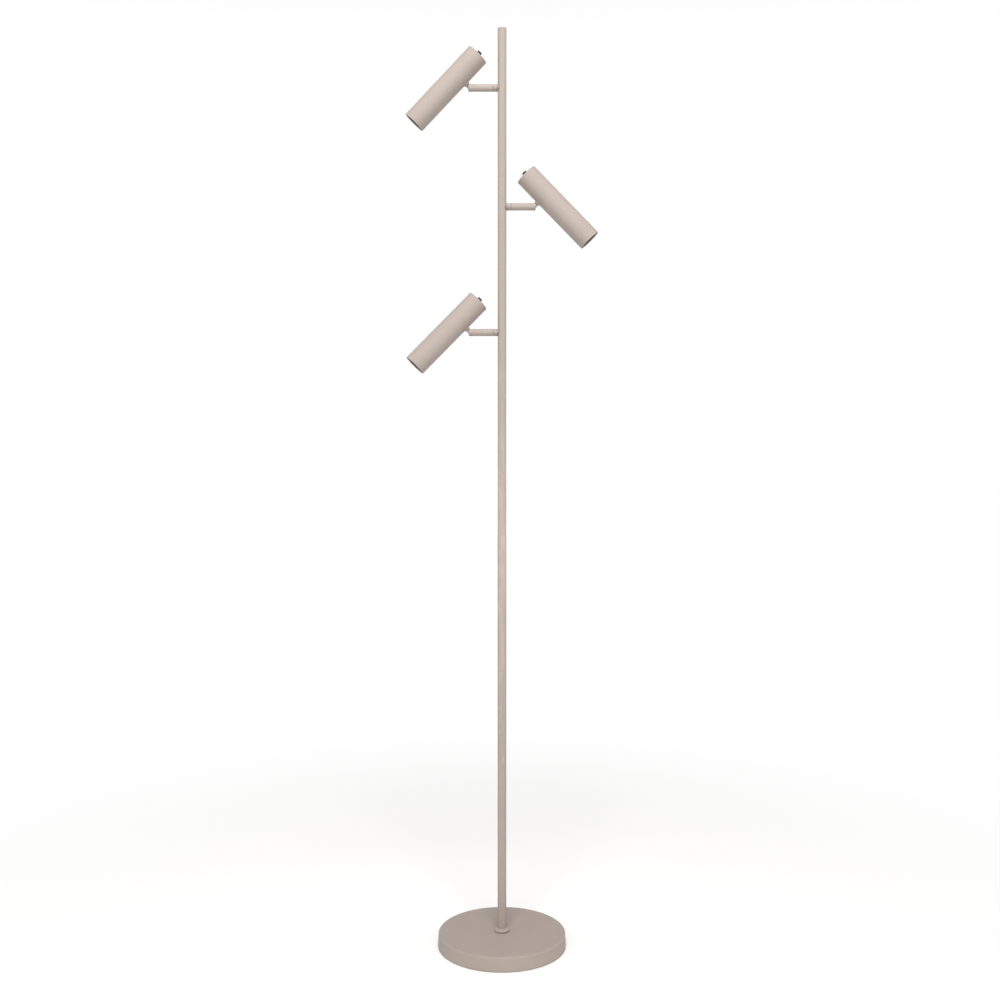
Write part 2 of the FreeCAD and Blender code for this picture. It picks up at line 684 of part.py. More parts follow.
def make_rear_cap(name, frames):
    body = turned(f"rear_{name}", [
        ("bush_radius", "rear_face"),
        ("shell_in - rear_chamfer", "rear_face"),
        ("shell_in", "rear_face + rear_chamfer"),
        ("shell_in", "rear_back"),
        ("bush_radius", "rear_back"),
    ])
    place(body, frames["head"])
    return keep(body, f"rear_cap_{name}")


def make_switch(name, frames):
    """Push switch: body inside, bush through the cap, nut outside, moving button."""
    body = turned(f"switch_{name}", [
        ("stalk_radius + running_fit", "bush_tip"),
        ("bush_radius - bush_chamfer", "bush_tip"),
        ("bush_radius", "bush_tip + bush_chamfer"),
        ("bush_radius", "rear_back"),
        ("switch_dia / 2", "rear_back"),
        ("switch_dia / 2", "switch_back"),
        ("0", "switch_back"),
        ("0", "bush_bottom"),
        ("stalk_radius + running_fit", "bush_bottom"),
    ])
    tabs = new_sketch(body, f"switch_tab_outline_{name}", "XY_Plane", "switch_back")
    for side in ("0 - tab_pitch / 2", "tab_pitch / 2"):
        draw_outline(tabs, box_corners(
            f"{side} - tab_thickness / 2", f"{side} + tab_thickness / 2",
            "0 - tab_width / 2", "tab_width / 2"))
    add_pad(body, tabs, f"switch_tabs_{name}", "tab_length")
    place(body, frames["head"])
    keep(body, f"switch_body_{name}")

    block = hexagon(f"switch_nut_{name}", "switch_nut_flats", "switch_nut_height")
    hole = primitive("Part::Cylinder", f"switch_nut_hole_{name}", Radius="bush_radius",
                     Height="switch_nut_height")
    nut = cut(f"switch_nut_{name}", block, hole)
    place(nut, frames["head"], shift(0, 0, "sizes.rear_face", turn(1, 0, 0, 180)))
    keep(nut, f"switch_nut_{name}")

    button = turned(f"button_{name}", [
        ("0", "button_tip"),
        ("button_dia / 2 - button_round", "button_tip"),
        ("button_dia / 2", "button_tip + button_round",
         "button_dia / 2 - button_round", "button_tip + button_round", "ccw"),
        ("button_dia / 2", "button_skirt"),
        ("skirt_in", "button_skirt"),
        ("skirt_in", "button_roof"),
        ("stalk_radius", "button_roof"),
        ("stalk_radius", "stalk_end"),
        ("0", "stalk_end"),
    ])
    place(button, frames["head"])
    return keep(button, f"switch_button_{name}")


def make_lamp_socket(name, frames):
    """Holder with a locating flange, two pin holes and two wire notches."""
    body = turned(f"socket_{name}", [
        ("0", "socket_back"),
        ("socket_dia / 2", "socket_back"),
        ("socket_dia / 2", "flange_front - socket_flange"),
        ("shell_in", "flange_front - socket_flange"),
        ("shell_in", "flange_front"),
        ("socket_dia / 2", "flange_front"),
        ("socket_dia / 2", "lamp_back"),
        ("0", "lamp_back"),
    ])
    pins = new_sketch(body, f"socket_pin_circles_{name}", "XY_Plane", "lamp_back")
    notches = new_sketch(body, f"socket_notch_circles_{name}", "XY_Plane", "flange_front")
    for sign in ("0 - ", ""):
        draw_circle(pins, f"{sign}pin_pitch / 2", "0", "pin_dia / 2 + pin_gap")
        draw_circle(notches, "0", f"{sign}shell_in", "wire_notch_dia / 2")
    add_cut(body, pins, f"socket_pin_holes_{name}", length="pin_length + pin_gap")
    add_cut(body, notches, f"socket_notches_{name}", length="socket_flange")
    place(body, frames["head"])
    return keep(body, f"lamp_socket_{name}")


def make_lamp(name, frames):
    """Reflector lamp: neck, flared cup with a hollow reflector, two pins."""
    neck = "lamp_neck_dia / 2"
    neck_end = "lamp_back + lamp_neck_length"
    rim_start = "lens_back - lamp_rim_length"
    body = turned(f"bulb_{name}", [
        ("0", "lamp_back"),
        (neck, "lamp_back"),
        (neck, neck_end),
        ("lamp_radius", rim_start),
        ("lamp_radius", "lens_back"),
        ("lamp_radius - lamp_wall", "lens_back"),
        ("lamp_radius - lamp_wall", rim_start),
        (f"{neck} / 2", "lens_back - reflector_depth"),
        ("0", "lens_back - reflector_depth"),
    ])
    pins = new_sketch(body, f"bulb_pin_circles_{name}", "XY_Plane", "lamp_back")
    for sign in ("0 - ", ""):
        draw_circle(pins, f"{sign}pin_pitch / 2", "0", "pin_dia / 2")
    feature = add_pad(body, pins, f"bulb_pins_{name}", "pin_length")
    feature.Reversed = True
    place(body, frames["head"])
    keep(body, f"lamp_{name}")

    lens = turned(f"lens_{name}", [
        ("0", "lens_back"),
        ("lamp_radius", "lens_back"),
        ("lamp_radius", "lens_front"),
        ("0", "lens_front"),
    ])
    place(lens, frames["head"])
    return keep(lens, f"lamp_lens_{name}")


def make_baffle_ring(name, frames):
    """Dark tube in the mouth whose inner lip holds the lens."""
    mouth = "lens_front + baffle_length"
    body = turned(f"baffle_{name}", [
        ("shell_in - baffle_lip", "lens_front"),
        ("shell_in", "lens_front"),
        ("shell_in", mouth),
        ("shell_in - baffle_wall", mouth),
        ("shell_in - baffle_wall", "lens_front + lip_thickness"),
        ("shell_in - baffle_lip", "lens_front + lip_thickness"),
    ])
    place(body, frames["head"])
    return keep(body, f"baffle_ring_{name}")


make_base_cover()
make_base_weight()
make_base_pad()
make_cord_grommet()
make_collar()
make_pole_foot()
make_foot_nut()
make_pole()
nipples, washers, retaining_nuts = [], [], []
for arm_name in arms:
    arm_frames = make_arm_frames(arm_name)
    make_arm_boss(arm_name, arm_frames)
    nipple, washer, retaining_nut = make_swivel_parts(arm_name, arm_frames)
    nipples.append(nipple)
    washers.append(washer)
    retaining_nuts.append(retaining_nut)
    make_arm_sleeve(arm_name, arm_frames)
    make_arm_knuckle(arm_name, arm_frames)
    make_tilt_screw(arm_name, arm_frames)
    make_head_stem(arm_name, arm_frames)
    make_stem_nut(arm_name, arm_frames)
    make_head_shell(arm_name, arm_frames)
    make_rear_cap(arm_name, arm_frames)
    make_switch(arm_name, arm_frames)
    make_lamp_socket(arm_name, arm_frames)
    make_lamp(arm_name, arm_frames)
    make_baffle_ring(arm_name, arm_frames)
group("swivel_nipples", nipples)
group("swivel_washers", washers)
group("swivel_nuts", retaining_nuts)
document.recompute()

# Checks before anything is written.
faults = []
for item in document.Objects:
    if "Invalid" in item.State or "Error" in item.State:
        faults.append(f"{item.Label} did not recompute")
    if item.isDerivedFrom("PartDesign::Pocket") and item.BaseFeature:
        if item.BaseFeature.Shape.Volume - item.Shape.Volume < 0.01:
            faults.append(f"{item.Label} cuts nothing")
for item in nodes:
    if item.Shape.isNull() or not item.Shape.isValid():
        faults.append(f"{item.Label} has no valid shape")
if faults:
    raise SystemExit("\n".join(faults))

os.makedirs("parts", exist_ok=True)
for item in nodes:
    item.Shape.exportStep(os.path.join("parts", item.Label + ".step"))
    print(f"{item.Label}: {len(item.Shape.Solids)} solid(s), {item.Shape.Volume:.1f} mm3")
print(f"{len(nodes)} nodes written")
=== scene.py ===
import math

import bpy
import numpy as np
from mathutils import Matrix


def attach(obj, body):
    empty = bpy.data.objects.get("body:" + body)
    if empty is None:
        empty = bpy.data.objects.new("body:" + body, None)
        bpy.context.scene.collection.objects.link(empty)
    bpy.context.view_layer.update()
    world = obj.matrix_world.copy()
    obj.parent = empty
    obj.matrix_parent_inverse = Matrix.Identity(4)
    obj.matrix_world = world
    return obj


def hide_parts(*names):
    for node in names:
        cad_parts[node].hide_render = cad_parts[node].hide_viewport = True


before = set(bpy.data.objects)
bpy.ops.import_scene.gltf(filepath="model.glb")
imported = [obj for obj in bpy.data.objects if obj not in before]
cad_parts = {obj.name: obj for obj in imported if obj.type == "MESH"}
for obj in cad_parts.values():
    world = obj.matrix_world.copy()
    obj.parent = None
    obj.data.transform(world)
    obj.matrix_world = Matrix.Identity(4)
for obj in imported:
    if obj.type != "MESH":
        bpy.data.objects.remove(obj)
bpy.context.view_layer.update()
print("frame loaded:", len(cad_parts), "nodes")

# Sizes are in millimetres, as in the solid model, and turn to metres when a mesh is made.
# Angles are in degrees. The arms stand at these heights, and the heads tilt down from level.
lampArms = {
    "top": {"height": 1509, "heading": 180, "swivel": -1, "tilt": 46},
    "middle": {"height": 1308.5, "heading": 0, "swivel": -5, "tilt": 46},
    "low": {"height": 1093.5, "heading": 180, "swivel": 9.5, "tilt": 46},
}
# The tilt pin's distance from the pole's axis, and the head's axis and rear end from the pin.
joint = {"pin": 54.3, "headOffset": 29.4, "headSetback": 49}

# Fillets of small edges, from a fresh cut to a rolled rim.
sharp, crisp, fine, slight, eased, soft, rolled = 0, 0.05, 0.1, 0.15, 0.2, 0.3, 0.4
foldAngle = math.radians(35)  # a steeper fold than this stays an edge after a cut
samePoint = 1e-7  # points closer than this are one
tiny = 1e-9  # keeps a division away from zero


# Camera first: a little below the low arm and tilted slightly down, so the frame needs no shift.
camera = {"place": (-0.0035, -2.2854, 0.9742), "down": 4.303, "lens": 47.12, "sensor": 36}
cameraData = bpy.data.cameras.new("photoCamera")
cameraData.sensor_width = camera["sensor"]
cameraData.lens = camera["lens"]
cameraObject = bpy.data.objects.new("photoCamera", cameraData)
bpy.context.scene.collection.objects.link(cameraObject)
cameraObject.location = camera["place"]  # in metres
cameraObject.rotation_euler = (math.radians(90 - camera["down"]), 0, 0)
bpy.context.scene.camera = cameraObject
print("camera set")


# Places: an origin and a 3x3 turn, so a point in a piece's own frame goes to turn @ point + origin.
def turnAbout(axis, degrees):
    # Rodrigues: the identity, plus sine times the cross matrix, plus (1 - cosine) times its square.
    x, y, z = axis
    angle = math.radians(degrees)
    cross = np.array([[0, -z, y], [z, 0, -x], [-y, x, 0]], float)
    return np.eye(3) + math.sin(angle) * cross + (1 - math.cos(angle)) * cross @ cross


def armPlaces(arm):
    # The arm's Z runs outwards and its X down, and the head's Z runs to the mouth and its X to the
    # pin. The screw's Z runs along the pin, away from the viewer, and the stem's from pin to tube.
    fixed = turnAbout((0, 0, 1), arm["heading"]) @ turnAbout((0, 1, 0), 90)
    swung = fixed @ turnAbout((0, 0, 1), arm["swivel"])
    tilted = swung @ turnAbout((0, 1, 0), arm["tilt"])
    hub = np.array([0, 0, arm["height"]], float)
    pin = hub + swung @ (0, 0, joint["pin"])
    rear = pin + tilted @ (-joint["headOffset"], 0, -joint["headSetback"])
    across = swung @ turnAbout((1, 0, 0), -90 if swung[1, 1] > 0 else 90)
    return {
        "fixed": (hub, fixed), "swung": (hub, swung), "screw": (pin, across),
        "stem": (pin, tilted @ turnAbout((0, 1, 0), -90)), "head": (rear, tilted),
    }


ground = (np.zeros(3), np.eye(3))
places = {name: armPlaces(arm) for name, arm in lampArms.items()}


# Surfaces. An arc takes at most filletShare of a run. The points that hold the shading stand
# hold mm from it, or holdShare of a short run, and startShare along an open profile's first run.
profile = {"leastFillet": 0.02, "filletShare": 0.49, "hold": 0.2, "holdShare": 0.25,
           "startShare": 0.98, "straight": 1e-6, "steps": 5}


def softLine(corners, closed, steps=profile["steps"]):
    # Each (radius, height, fillet) corner becomes an arc of its fillet radius, tangent to both
    # runs. Two more points close to each arc's ends keep the shading of the flat runs flat.
    data = np.array(corners, float)
    points, fillet = data[:, :2], np.maximum(data[:, 2], profile["leastFillet"])
    before = points - np.roll(points, 1, axis=0)
    after = np.roll(points, -1, axis=0) - points
    lengthBefore, lengthAfter = np.hypot(*before.T), np.hypot(*after.T)
    before /= lengthBefore[:, None]
    after /= lengthAfter[:, None]
    turn = np.arctan2(before[:, 0] * after[:, 1] - before[:, 1] * after[:, 0],
                      (before * after).sum(1))
    slope = np.abs(np.tan(turn / 2))
    reach = np.minimum(slope * fillet,
                       profile["filletShare"] * np.minimum(lengthBefore, lengthAfter))
    radius = reach / np.maximum(slope, tiny)
    inward = np.stack([-before[:, 1], before[:, 0]], 1) * np.sign(turn)[:, None]
    centre = points - before * reach[:, None] + inward * radius[:, None]
    swing = np.linspace(0, 1, steps)[None, :] * turn[:, None]
    spoke = -inward
    arc = np.stack([spoke[:, :1] * np.cos(swing) - spoke[:, 1:] * np.sin(swing),
                    spoke[:, :1] * np.sin(swing) + spoke[:, 1:] * np.cos(swing)], -1)
    arc = centre[:, None, :] + arc * radius[:, None, None]
    straight = np.abs(turn) < profile["straight"]
    arc[straight] = points[straight][:, None, :]
    nextStart = np.roll(arc[:, 0], -1, axis=0)
    run = nextStart - arc[:, -1]
    runLength = np.hypot(*run.T)
    hold = np.minimum(profile["hold"], profile["holdShare"] * runLength)
    step = run * (hold / np.maximum(runLength, tiny))[:, None]
    near, far = arc[:, -1] + step, nextStart - step
    line = np.concatenate([arc, near[:, None], far[:, None]], 1)
    if closed:
        return line.reshape(-1, 2)
    middle = line[1:-1].reshape(-1, 2)
    beside = points[0] + (middle[0] - points[0]) * profile["startShare"]
    return np.concatenate([[points[0], beside], middle, [points[-1]]])


def fullTurn(segments):
    # Even angles once round, without the last one, which would fall on the first.
    return np.linspace(0, 2 * np.pi, segments, endpoint=False)


def ringGrid(radius, around, height):
    # Rows of points at radius times cosine and radius times sine of the angles, at their height.
    x, y = radius * np.cos(around), radius * np.sin(around)
    return np.stack([x, y, height + 0 * x], -1)


def turnedGrid(line, segments):
    # Carries a (radius, height) line once round the Z axis.
    return ringGrid(line[:, :1], fullTurn(segments), line[:, 1:])


def plugGrid(radius, low, high, segments):
    # A round plug between two heights, for cutting a hole.
    line = softLine([(0, low, sharp), (radius, low, crisp), (radius, high, crisp),
                     (0, high, sharp)], False)
    return turnedGrid(line, segments)


def boxGrid(low, high):
    # A closed box from its low and high corners: a ring of four at each height, and two poles.
    (x0, y0, z0), (x1, y1, z1) = low, high
    ring = [(x0, y0), (x1, y0), (x1, y1), (x0, y1)]
    middle = [((x0 + x1) / 2, (y0 + y1) / 2)] * 4
    rows = ((middle, z0), (ring, z0), (ring, z1), (middle, z1))
    return np.array([[(x, y, z) for x, y in row] for row, z in rows], float)


def hexagonRadius(flats, around):
    # Half the width across flats, over the cosine of the angle to the nearest flat's middle.
    sector = np.pi / 3
    return flats / 2 / np.cos((around % sector) - sector / 2)


def meshFromGrid(name, grid, place, loopRows):
    # Joins a rows x columns x 3 grid of points into quads, round each row and, for a closed
    # profile, from the last row to the first. A row with all its points on one spot is a pole and
    # becomes a single vertex with a fan of triangles. Where the volume under the faces comes out
    # negative they point inwards, and all are turned round.
    rows, columns = grid.shape[:2]
    ids = np.arange(rows * columns).reshape(rows, columns)
    poles = np.ptp(grid, axis=1).max(1) < samePoint
    ids[poles] = ids[poles][:, :1]
    low = ids if loopRows else ids[:-1]
    high = np.roll(ids, -1, axis=0) if loopRows else ids[1:]
    quads = np.stack([low, np.roll(low, -1, axis=1), np.roll(high, -1, axis=1), high], -1)
    quads = quads.reshape(-1, 4)
    points = grid.reshape(-1, 3)
    first, second, third, fourth = points[quads].transpose(1, 0, 2)
    volume = (first * (np.cross(second, third) + np.cross(third, fourth))).sum()
    if volume < 0:
        quads = quads[:, ::-1]
    used, index = np.unique(quads, return_inverse=True)
    quads = index.reshape(-1, 4)
    origin, turn = place
    points = (points[used] @ turn.T + origin) / 1000
    keep = quads != np.roll(quads, 1, axis=1)
    sizes = keep.sum(1)
    mesh = bpy.data.meshes.new(name)
    mesh.vertices.add(len(points))
    mesh.vertices.foreach_set("co", points.astype(np.float32).ravel())
    mesh.loops.add(int(sizes.sum()))
    mesh.loops.foreach_set("vertex_index", quads[keep].astype(np.int32))
    mesh.polygons.add(len(quads))
    starts = np.concatenate([[0], np.cumsum(sizes)[:-1]])
    mesh.polygons.foreach_set("loop_start", starts.astype(np.int32))
    mesh.polygons.foreach_set("use_smooth", np.ones(len(quads), bool))
    mesh.update(calc_edges=True)
    mesh.validate()
    return mesh


# Materials
def linearColour(hexColour, alpha=1.0):
    # The sRGB curve: a straight foot near black, above it a power of 2.4 with a small offset.
    channels = np.array([int(hexColour[i:i + 2], 16) for i in (1, 3, 5)]) / 255
    linear = np.where(channels <= 0.04045, channels / 12.92, ((channels + 0.055) / 1.055) ** 2.4)
    return (*linear.tolist(), alpha)


def addNode(tree, kind, inputs=None, **settings):
    # Inputs go by name or number, and one that is another node's socket becomes a link.
    node = tree.nodes.new(kind)
    for name, value in settings.items():
        setattr(node, name, value)
    for key, value in (inputs or {}).items():
        if isinstance(value, bpy.types.NodeSocket):
            tree.links.new(value, node.inputs[key])
        else:
            node.inputs[key].default_value = value
    return node


def newFinish(name, surface):
    # Starts a material with one shader whose plain numbers are given, and returns it with its tree,
    # its shader and the position in millimetres.
    material = bpy.data.materials.new(name)
    material.use_nodes = True
    tree = material.node_tree
    tree.nodes.clear()
    shader = addNode(tree, "ShaderNodeBsdfPrincipled", surface)
    addNode(tree, "ShaderNodeOutputMaterial", {"Surface": shader.outputs[0]})
    coordinates = addNode(tree, "ShaderNodeTexCoord")
    position = addNode(tree, "ShaderNodeVectorMath", {
        0: coordinates.outputs["Object"], 1: (1000, 1000, 1000)}, operation="MULTIPLY")
    return material, tree, shader, position.outputs[0]


# How both noises are read: their detail, the span of the fine one that roughness follows, and
# how deep each goes at full strength, in metres.
noise = {"broadDetail": 3.0, "fineDetail": 2.0, "low": 0.3, "high": 0.7,
         "waveDepth": 0.001, "grainDepth": 0.0003}


def varied(tree, position, shader, pattern):
    # Drives base colour, roughness and bump from two noises whose periods are real sizes in mm:
    # a broad one for tone and slow waves, and a fine one for the surface's own grain.
    broad = addNode(tree, "ShaderNodeTexNoise", {
        "Vector": position, "Scale": 1 / pattern["broad"], "Detail": noise["broadDetail"]})
    fineGrain = addNode(tree, "ShaderNodeTexNoise", {
        "Vector": position, "Scale": 1 / pattern["grain"], "Detail": noise["fineDetail"]})
    # A colour mix has its factor at 0 and its two colours at 6 and 7.
    tone = addNode(tree, "ShaderNodeMix", {
        0: broad.outputs[0], 6: linearColour(pattern["dark"]),
        7: linearColour(pattern["light"])}, data_type="RGBA")
    speck = addNode(tree, "ShaderNodeMix", {
        0: pattern["speck"], 6: tone.outputs[2], 7: fineGrain.outputs[0]},
        data_type="RGBA", blend_type="SOFT_LIGHT")
    tree.links.new(speck.outputs[2], shader.inputs["Base Color"])
    rough = addNode(tree, "ShaderNodeMapRange", {
        "Value": fineGrain.outputs[0], "From Min": noise["low"], "From Max": noise["high"],
        "To Min": pattern["rough"][0], "To Max": pattern["rough"][1]})
    tree.links.new(rough.outputs[0], shader.inputs["Roughness"])
    wave = addNode(tree, "ShaderNodeBump", {
        "Height": broad.outputs[0], "Strength": pattern["wave"], "Distance": noise["waveDepth"]})
    grain = addNode(tree, "ShaderNodeBump", {
        "Height": fineGrain.outputs[0], "Strength": pattern["bump"],
        "Distance": noise["grainDepth"], "Normal": wave.outputs[0]})
    tree.links.new(grain.outputs[0], shader.inputs["Normal"])


# A finish has the record's slot that its pieces take, where a new piece wears it, the shader's
# plain numbers, and its pattern: periods in mm, colours, and how strongly each noise shows.
finishes = {
    # Polyester powder coat, sprayed dry on steel and baked: a matt sand-taupe skin with a pinhead
    # grain and the faint slow waves of the melt. Grain is 0.5 mm, drawn at 0.8 mm to show.
    "powderCoat": {
        "slot": "powder_coat", "surface": {"IOR": 1.5, "Specular IOR Level": 0.3},
        "pattern": {"broad": 38, "grain": 0.8, "dark": "#9D9189", "light": "#A3978F",
                    "speck": 0.12, "rough": (0.6, 0.76), "wave": 0.05, "bump": 0.5}},
    # Matt black stove enamel inside the mouth, which swallows the glare: nearly no gloss.
    "blackEnamel": {
        "slot": "black_coat", "surface": {"IOR": 1.48},
        "pattern": {"broad": 20, "grain": 0.6, "dark": "#0E0D0D", "light": "#161514",
                    "speck": 0.05, "rough": (0.7, 0.85), "wave": 0.02, "bump": 0.2}},
    # Grey cast iron, sand cast and left raw: coarse pitted grain, dull metal.
    "castIron": {
        "surface": {"Metallic": 0.6},
        "pattern": {"broad": 25, "grain": 1.6, "dark": "#3B3A3A", "light": "#57534F",
                    "speck": 0.2, "rough": (0.6, 0.85), "wave": 0.2, "bump": 0.8}},
    # Closed-cell EVA foam sheet, die cut: dark grey, soft and pricked with 0.8 mm cells.
    "evaFoam": {
        "slot": "pad", "surface": {"IOR": 1.45, "Sheen Weight": 0.2},
        "pattern": {"broad": 15, "grain": 0.8, "dark": "#232221", "light": "#33312F",
                    "speck": 0.2, "rough": (0.85, 0.95), "wave": 0.05, "bump": 0.6}},
    # Black rubber, compression moulded: dull skin with a soft edge light.
    "mouldedRubber": {
        "slot": "rubber", "surface": {"IOR": 1.52, "Sheen Weight": 0.1},
        "pattern": {"broad": 9, "grain": 0.5, "dark": "#191818", "light": "#242322",
                    "speck": 0.1, "rough": (0.55, 0.7), "wave": 0.05, "bump": 0.2}},
    # Bright zinc plate on steel: pale blue-grey metal with cloudy patches.
    "zincPlate": {
        "slot": "plated_steel", "surface": {"Metallic": 1.0},
        "pattern": {"broad": 6, "grain": 0.5, "dark": "#A3A6A8", "light": "#C0C1BE",
                    "speck": 0.1, "rough": (0.28, 0.42), "wave": 0.03, "bump": 0.06}},
    # Polished nickel plate on brass: warm mirror with the faint haze of handling.
    "nickelPlate": {
        "slot": "bright_metal", "surface": {"Metallic": 1.0},
        "pattern": {"broad": 4, "grain": 0.4, "dark": "#CFCAC1", "light": "#DBD7D0",
                    "speck": 0.03, "rough": (0.12, 0.2), "wave": 0.01, "bump": 0.02}},
    # Black ABS, injection moulded in a spark-eroded tool: fine even satin grain.
    "blackPlastic": {
        "slot": "black_plastic", "surface": {"IOR": 1.54},
        "pattern": {"broad": 5, "grain": 0.3, "dark": "#141313", "light": "#1C1B1A",
                    "speck": 0.05, "rough": (0.32, 0.42), "wave": 0.02, "bump": 0.08}},
    # Brown nylon washer, punched: dull and slightly waxy. Its brown is darker than the nylon's own,
    # as painted shade that makes a dark line in the arm's seam.
    "nylonAndSeamShade": {
        "surface": {"IOR": 1.53},
        "pattern": {"broad": 5, "grain": 0.4, "dark": "#4B453F", "light": "#58514A",
                    "speck": 0.05, "rough": (0.4, 0.5), "wave": 0.02, "bump": 0.05}},
    # White PVC lead sheath, extruded: smooth with slow waves.
    "leadSheath": {
        "surface": {"IOR": 1.53},
        "pattern": {"broad": 12, "grain": 0.5, "dark": "#D5D3CD", "light": "#DEDCD7",
                    "speck": 0.04, "rough": (0.4, 0.5), "wave": 0.1, "bump": 0.05}},
    # Steatite ceramic of the lamp holder, pressed and glazed: off-white with grey specks.
    "steatite": {
        "surface": {"IOR": 1.55, "Coat Weight": 0.3, "Coat Roughness": 0.1},
        "pattern": {"broad": 7, "grain": 0.7, "dark": "#DAD5CA", "light": "#E4E0D8",
                    "speck": 0.25, "rough": (0.25, 0.35), "wave": 0.04, "bump": 0.05}},
    # Polycarbonate body of the lamp, injection moulded: glossy white.
    "lampBody": {
        "slot": "lamp_white", "surface": {"IOR": 1.58},
        "pattern": {"broad": 20, "grain": 0.8, "dark": "#DDDCD8", "light": "#E6E5E2",
                    "speck": 0.03, "rough": (0.2, 0.28), "wave": 0.02, "bump": 0.03}},
    # Aluminium of the reflector, laid on in a vacuum: bright mirror, softly hazed.
    "aluminised": {
        "surface": {"Metallic": 1.0},
        "pattern": {"broad": 6, "grain": 0.6, "dark": "#D5D6D8", "light": "#E3E3E4",
                    "speck": 0.02, "rough": (0.08, 0.16), "wave": 0.03, "bump": 0.02}},
    # Silicone with phosphor over the diodes, cast: dull warm yellow.
    "phosphor": {
        "slot": "lamp_white", "surface": {"IOR": 1.45},
        "pattern": {"broad": 3, "grain": 0.3, "dark": "#C9A63A", "light": "#D9B94E",
                    "speck": 0.1, "rough": (0.45, 0.6), "wave": 0.02, "bump": 0.1}},
    # Borosilicate front glass, pressed: clear with a slightly rippled skin.
    "frontGlass": {
        "slot": "lens_glass", "surface": {"IOR": 1.47, "Transmission Weight": 1.0},
        "pattern": {"broad": 5, "grain": 1.0, "dark": "#F1F4F3", "light": "#FAFBFA",
                    "speck": 0.0, "rough": (0.02, 0.06), "wave": 0.05, "bump": 0.02}},
}
for finishName, finish in finishes.items():
    material, tree, shader, position = newFinish(finishName, finish["surface"])
    varied(tree, position, shader, finish["pattern"])
    finish["material"] = material
print("finishes made:", len(finishes))


# Pieces
def addPiece(name, grid, place, body, finishName, nodes=(), closed=False):
    # Puts a grid in the scene with its finish, its body and the nodes that it stands for. A closed
    # one is a ring in section, and an open one ends on poles.
    piece = bpy.data.objects.new(name, meshFromGrid(name, grid, place, closed))
    bpy.context.scene.collection.objects.link(piece)
    piece.data.materials.append(finishes[finishName]["material"])
    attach(piece, body)
    if nodes:
        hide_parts(*nodes)
    return piece


def addTurned(name, corners, place, body, finishName, nodes=(), closed=True, segments=96,
              steps=profile["steps"]):
    # Rounds the corners of a (radius, height, fillet) profile and turns it once round its own Z.
    grid = turnedGrid(softLine(corners, closed, steps), segments)
    return addPiece(name, grid, place, body, finishName, nodes, closed)


def cutWith(piece, grid, place):
    # Takes one closed shape out of a piece, and keeps the steep folds as edges.
    cutter = bpy.data.objects.new("cutter", meshFromGrid("cutter", grid, place, False))
    bpy.context.scene.collection.objects.link(cutter)
    carve = piece.modifiers.new("carve", "BOOLEAN")
    carve.object = cutter
    carve.operation = "DIFFERENCE"
    carve.solver = "EXACT"
    shaped = piece.evaluated_get(bpy.context.evaluated_depsgraph_get())
    carved = bpy.data.meshes.new_from_object(shaped)
    carved.name = piece.name
    carved.set_sharp_from_angle(angle=foldAngle)
    piece.modifiers.clear()
    piece.data = carved
    bpy.data.objects.remove(cutter)


# Base: drawn cover with a rolled shoulder, foam pad under it, rubber inlet at the back.
base = {"radius": 114.5, "topRadius": 113.5, "height": 26.8, "shoulder": 3.7, "lift": 1,
        "wall": 1.5, "centreHole": 5.25, "rimSoft": 0.45}
pad = {"radius": 111.5, "thickness": 2, "edge": 0.4}
inlet = {"height": 9.5, "hole": 5, "bore": 3.5, "body": 5, "flange": 6.2, "outer": 1.0,
         "inner": 2.0, "slack": 0.45, "wallRadius": 114.11, "edge": 0.35, "cutReach": 8}
under = base["height"] - base["wall"]
cover = addTurned("baseCover", [
    (base["centreHole"], under, fine), (base["centreHole"], base["height"], fine),
    (base["topRadius"], base["height"], base["shoulder"]),
    (base["radius"], base["lift"], base["rimSoft"]),
    (base["radius"] - base["wall"], base["lift"], base["rimSoft"]),
    (base["topRadius"] - base["wall"], under, base["shoulder"] - base["wall"]),
], ground, "stand", "powderCoat", ["base_cover"], segments=192, steps=12)
addTurned("basePad", [
    (0, 0, sharp), (pad["radius"], 0, pad["edge"]),
    (pad["radius"], pad["thickness"], pad["edge"]), (0, pad["thickness"], sharp),
], ground, "stand", "evaFoam", ["base_pad"], closed=False, segments=192)

# The inlet's Z runs out through the cover's rear wall, from the wall's outside.
inletPlace = (np.array([0, inlet["wallRadius"], inlet["height"]], float), turnAbout((1, 0, 0), -90))
behind = -base["wall"] - inlet["slack"]
tail, front = behind - inlet["inner"], inlet["slack"] + inlet["outer"]
addTurned("cordInlet", [
    (inlet["bore"], tail, rolled), (inlet["flange"], tail, inlet["edge"]),
    (inlet["flange"], behind, eased), (inlet["body"], behind, fine),
    (inlet["body"], inlet["slack"], fine), (inlet["flange"], inlet["slack"], eased),
    (inlet["flange"], front, inlet["edge"]), (inlet["bore"], front, rolled),
], inletPlace, "stand", "mouldedRubber", ["cord_grommet"], segments=64)
inletHole = plugGrid(inlet["hole"], -inlet["cutReach"], inlet["cutReach"], segments=64)
cutWith(cover, inletHole, inletPlace)
print("base made")


# Pole: two tubes that meet in a fine groove, domed collar at the foot, plug cap on top.
pole = {"bottom": 26.8, "jointHeight": 740, "top": 1609, "lowerRadius": 7.75,
        "upperRadius": 7.5, "bore": 6.3, "chamfer": 0.4, "capThickness": 2, "capSpigot": 12,
        "capRound": 0.45}
